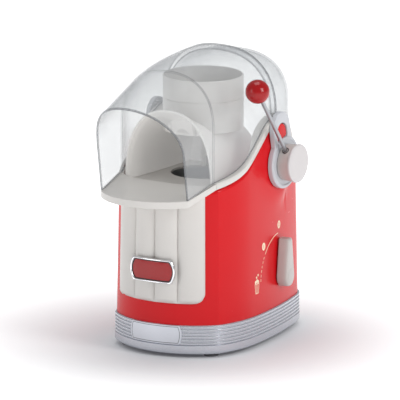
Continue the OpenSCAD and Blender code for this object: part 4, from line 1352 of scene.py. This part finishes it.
class POPCORN_OT_dial(bpy.types.Operator):
    """Printed dial: off and on marks, their arc, a dashed sweep and a small carton"""
    bl_idname = "popcorn.dial"
    bl_label = "Dial marks"

    def execute(self, context):
        bm = bmesh.new()
        printed_arc(bm, 3, 50, 54.0, 0.9)
        for start in range(54, 88, 6):
            printed_arc(bm, start, start + 3.4, 54.0, 0.8)
        marks = []
        for turn, radius in ((0, 64.0), (45, 64.0)):
            y = KNOB_Y - radius * math.sin(math.radians(turn))
            z = KNOB_Z + radius * math.cos(math.radians(turn))
            marks.append((y, z))
            printed_spot(bm, y, z, 4.3, 5.0)
        y, z = KNOB_Y - 64.0, KNOB_Z - 2.0
        for side in (-1, 1):
            printed_bar(bm, ((y + side * 5.0, z + 4), (y + side * 3.4, z - 8)), 0.9)
            printed_bar(bm, ((y + side * 1.6, z + 4), (y + side * 1.1, z - 8)), 0.7)
        printed_bar(bm, ((y - 3.6, z - 8), (y + 3.6, z - 8)), 0.9)
        printed_bar(bm, ((y - 5.2, z + 4), (y + 5.2, z + 4)), 0.9)
        for dy, dz, r in ((-3.4, 6.4, 2.0), (0.2, 7.4, 2.3), (3.4, 6.2, 1.9), (-1.0, 12.0, 1.6),
                          (3.0, 14.5, 1.5)):
            printed_spot(bm, y + dy, z + dz, r, r)
        piece("dial_printing", bm, "base", "white_plastic", "dial print", sharp=30)
        bm = bmesh.new()
        printed_spot(bm, *marks[0], 2.0, 2.8, hole=0.62, proud=0.2)
        printed_spot(bm, *marks[1], 0.55, 2.8, proud=0.2)
        piece("dial_figures", bm, "base", "red_gloss", "red gloss", sharp=30)
        return {"FINISHED"}


# Works and stage


class POPCORN_OT_works(bpy.types.Operator):
    """Finishes for the feet, fastenings and inner works, which keep their own shapes"""
    bl_idname = "popcorn.works"
    bl_label = "Inner works"

    def execute(self, context):
        for name, nodes in WORKS.items():
            for node in nodes:
                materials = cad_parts[node].data.materials
                materials.clear()
                materials.append(made_finish(name))
        return {"FINISHED"}


def soft_light(name, place, aim, energy, width, height, tint=(1, 1, 1)):
    data = bpy.data.lights.new(name, "AREA")
    data.shape, data.size, data.size_y = "RECTANGLE", width, height
    data.energy, data.color = energy, tint
    obj = bpy.data.objects.new(name, data)
    bpy.context.scene.collection.objects.link(obj)
    obj.location = place
    obj.rotation_euler = (Vector(aim) - Vector(place)).to_track_quat("-Z", "Y").to_euler()


class POPCORN_OT_stage(bpy.types.Operator):
    """Pale floor with a painted shadow pooled round the machine, soft studio light and the camera
    """
    bl_idname = "popcorn.stage"
    bl_label = "Studio"

    def execute(self, context):
        scene = context.scene
        bm = bmesh.new()
        laid_grid(bm, 2, 2, lambda u, v: Vector(((u - 0.5) * 60, (v - 0.5) * 60, -0.0005)))
        mesh = bpy.data.meshes.new("floor")
        bm.to_mesh(mesh)
        bm.free()
        floor = bpy.data.objects.new("floor", mesh)
        scene.collection.objects.link(floor)
        f = Finish("pale floor")
        away = f.node("ShaderNodeVectorMath", {"operation": "LENGTH"}, {0: f.place}, output=1)
        surface = f.node("ShaderNodeBsdfPrincipled", {}, {
            "Base Color": (0.8, 0.8, 0.805, 1), "Roughness": 0.6,
            "Specular IOR Level": 0.1, "Emission Strength": 1.0,
            # Painted shadow: the floor's glow is near black within 0.1 m of its middle, under the
            # machine, and pale beyond 0.42 m
            "Emission Color": f.blend(f.step(away, 0.10, 0.42), (0.06, 0.06, 0.07, 1),
                                      (0.72, 0.72, 0.72, 1))})
        mesh.materials.append(f.shown(surface))
        world = bpy.data.worlds.new("studio")
        world.use_nodes = True
        world.node_tree.nodes["Background"].inputs[0].default_value = (0.98, 0.985, 1.0, 1)
        world.node_tree.nodes["Background"].inputs[1].default_value = 0.45
        scene.world = world
        centre = (0, 0, 0.18)
        soft_light("key", (1.9, -0.35, 1.1), centre, 17, 0.7, 1.0)
        soft_light("fill", (-1.1, -2.0, 0.7), centre, 6, 0.7, 1.1)
        soft_light("top", (-0.1, 0.1, 1.9), centre, 9, 1.0, 1.0)
        scene.view_settings.view_transform = "Standard"
        camera = bpy.data.objects.new("camera", bpy.data.cameras.new("camera"))
        scene.collection.objects.link(camera)
        turn, rise, far = math.radians(30.5), math.radians(12.8), 12.0
        aim = at(34.6, 19.5, 190.0)
        back = Vector((math.sin(turn) * math.cos(rise), -math.cos(turn) * math.cos(rise),
                       math.sin(rise)))
        camera.location = aim + back * far
        camera.rotation_euler = (-back).to_track_quat("-Z", "Y").to_euler()
        camera.data.sensor_width, camera.data.lens = 36, 879
        camera.data.clip_end = 60
        scene.camera = camera
        return {"FINISHED"}


BUILDERS = (POPCORN_OT_band, POPCORN_OT_nameplate, POPCORN_OT_shell, POPCORN_OT_panel,
            POPCORN_OT_badge, POPCORN_OT_tray, POPCORN_OT_trim, POPCORN_OT_cowl,
            POPCORN_OT_visor, POPCORN_OT_rear_hood, POPCORN_OT_arms, POPCORN_OT_lever,
            POPCORN_OT_knob, POPCORN_OT_dial, POPCORN_OT_works, POPCORN_OT_stage)


class POPCORN_PT_panel(bpy.types.Panel):
    """Sizes, colours and builders of the popcorn maker"""
    bl_label = "Popcorn maker"
    bl_space_type = "VIEW_3D"
    bl_region_type = "UI"
    bl_category = "Popcorn"

    def draw(self, context):
        layout = self.layout
        for group in ("popcorn_body", "popcorn_lever", "popcorn_finish"):
            held = getattr(context.scene, group)
            box = layout.box()
            for name in held.__annotations__:
                box.prop(held, name)
        for builder in BUILDERS:
            layout.operator(builder.bl_idname)


GROUPS = {"popcorn_body": BodySizes, "popcorn_lever": LeverSizes, "popcorn_finish": Finishes}


def register():
    for cls in (*GROUPS.values(), *BUILDERS, POPCORN_PT_panel):
        bpy.utils.register_class(cls)
    for name, group in GROUPS.items():
        setattr(bpy.types.Scene, name, PointerProperty(type=group))


def unregister():
    for name in GROUPS:
        delattr(bpy.types.Scene, name)
    for cls in (POPCORN_PT_panel, *reversed(BUILDERS), *GROUPS.values()):
        bpy.utils.unregister_class(cls)


def main():
    register()
    for builder in BUILDERS:
        group, name = builder.bl_idname.split(".")
        getattr(getattr(bpy.ops, group), name)()


if __name__ == "__main__":
    main()
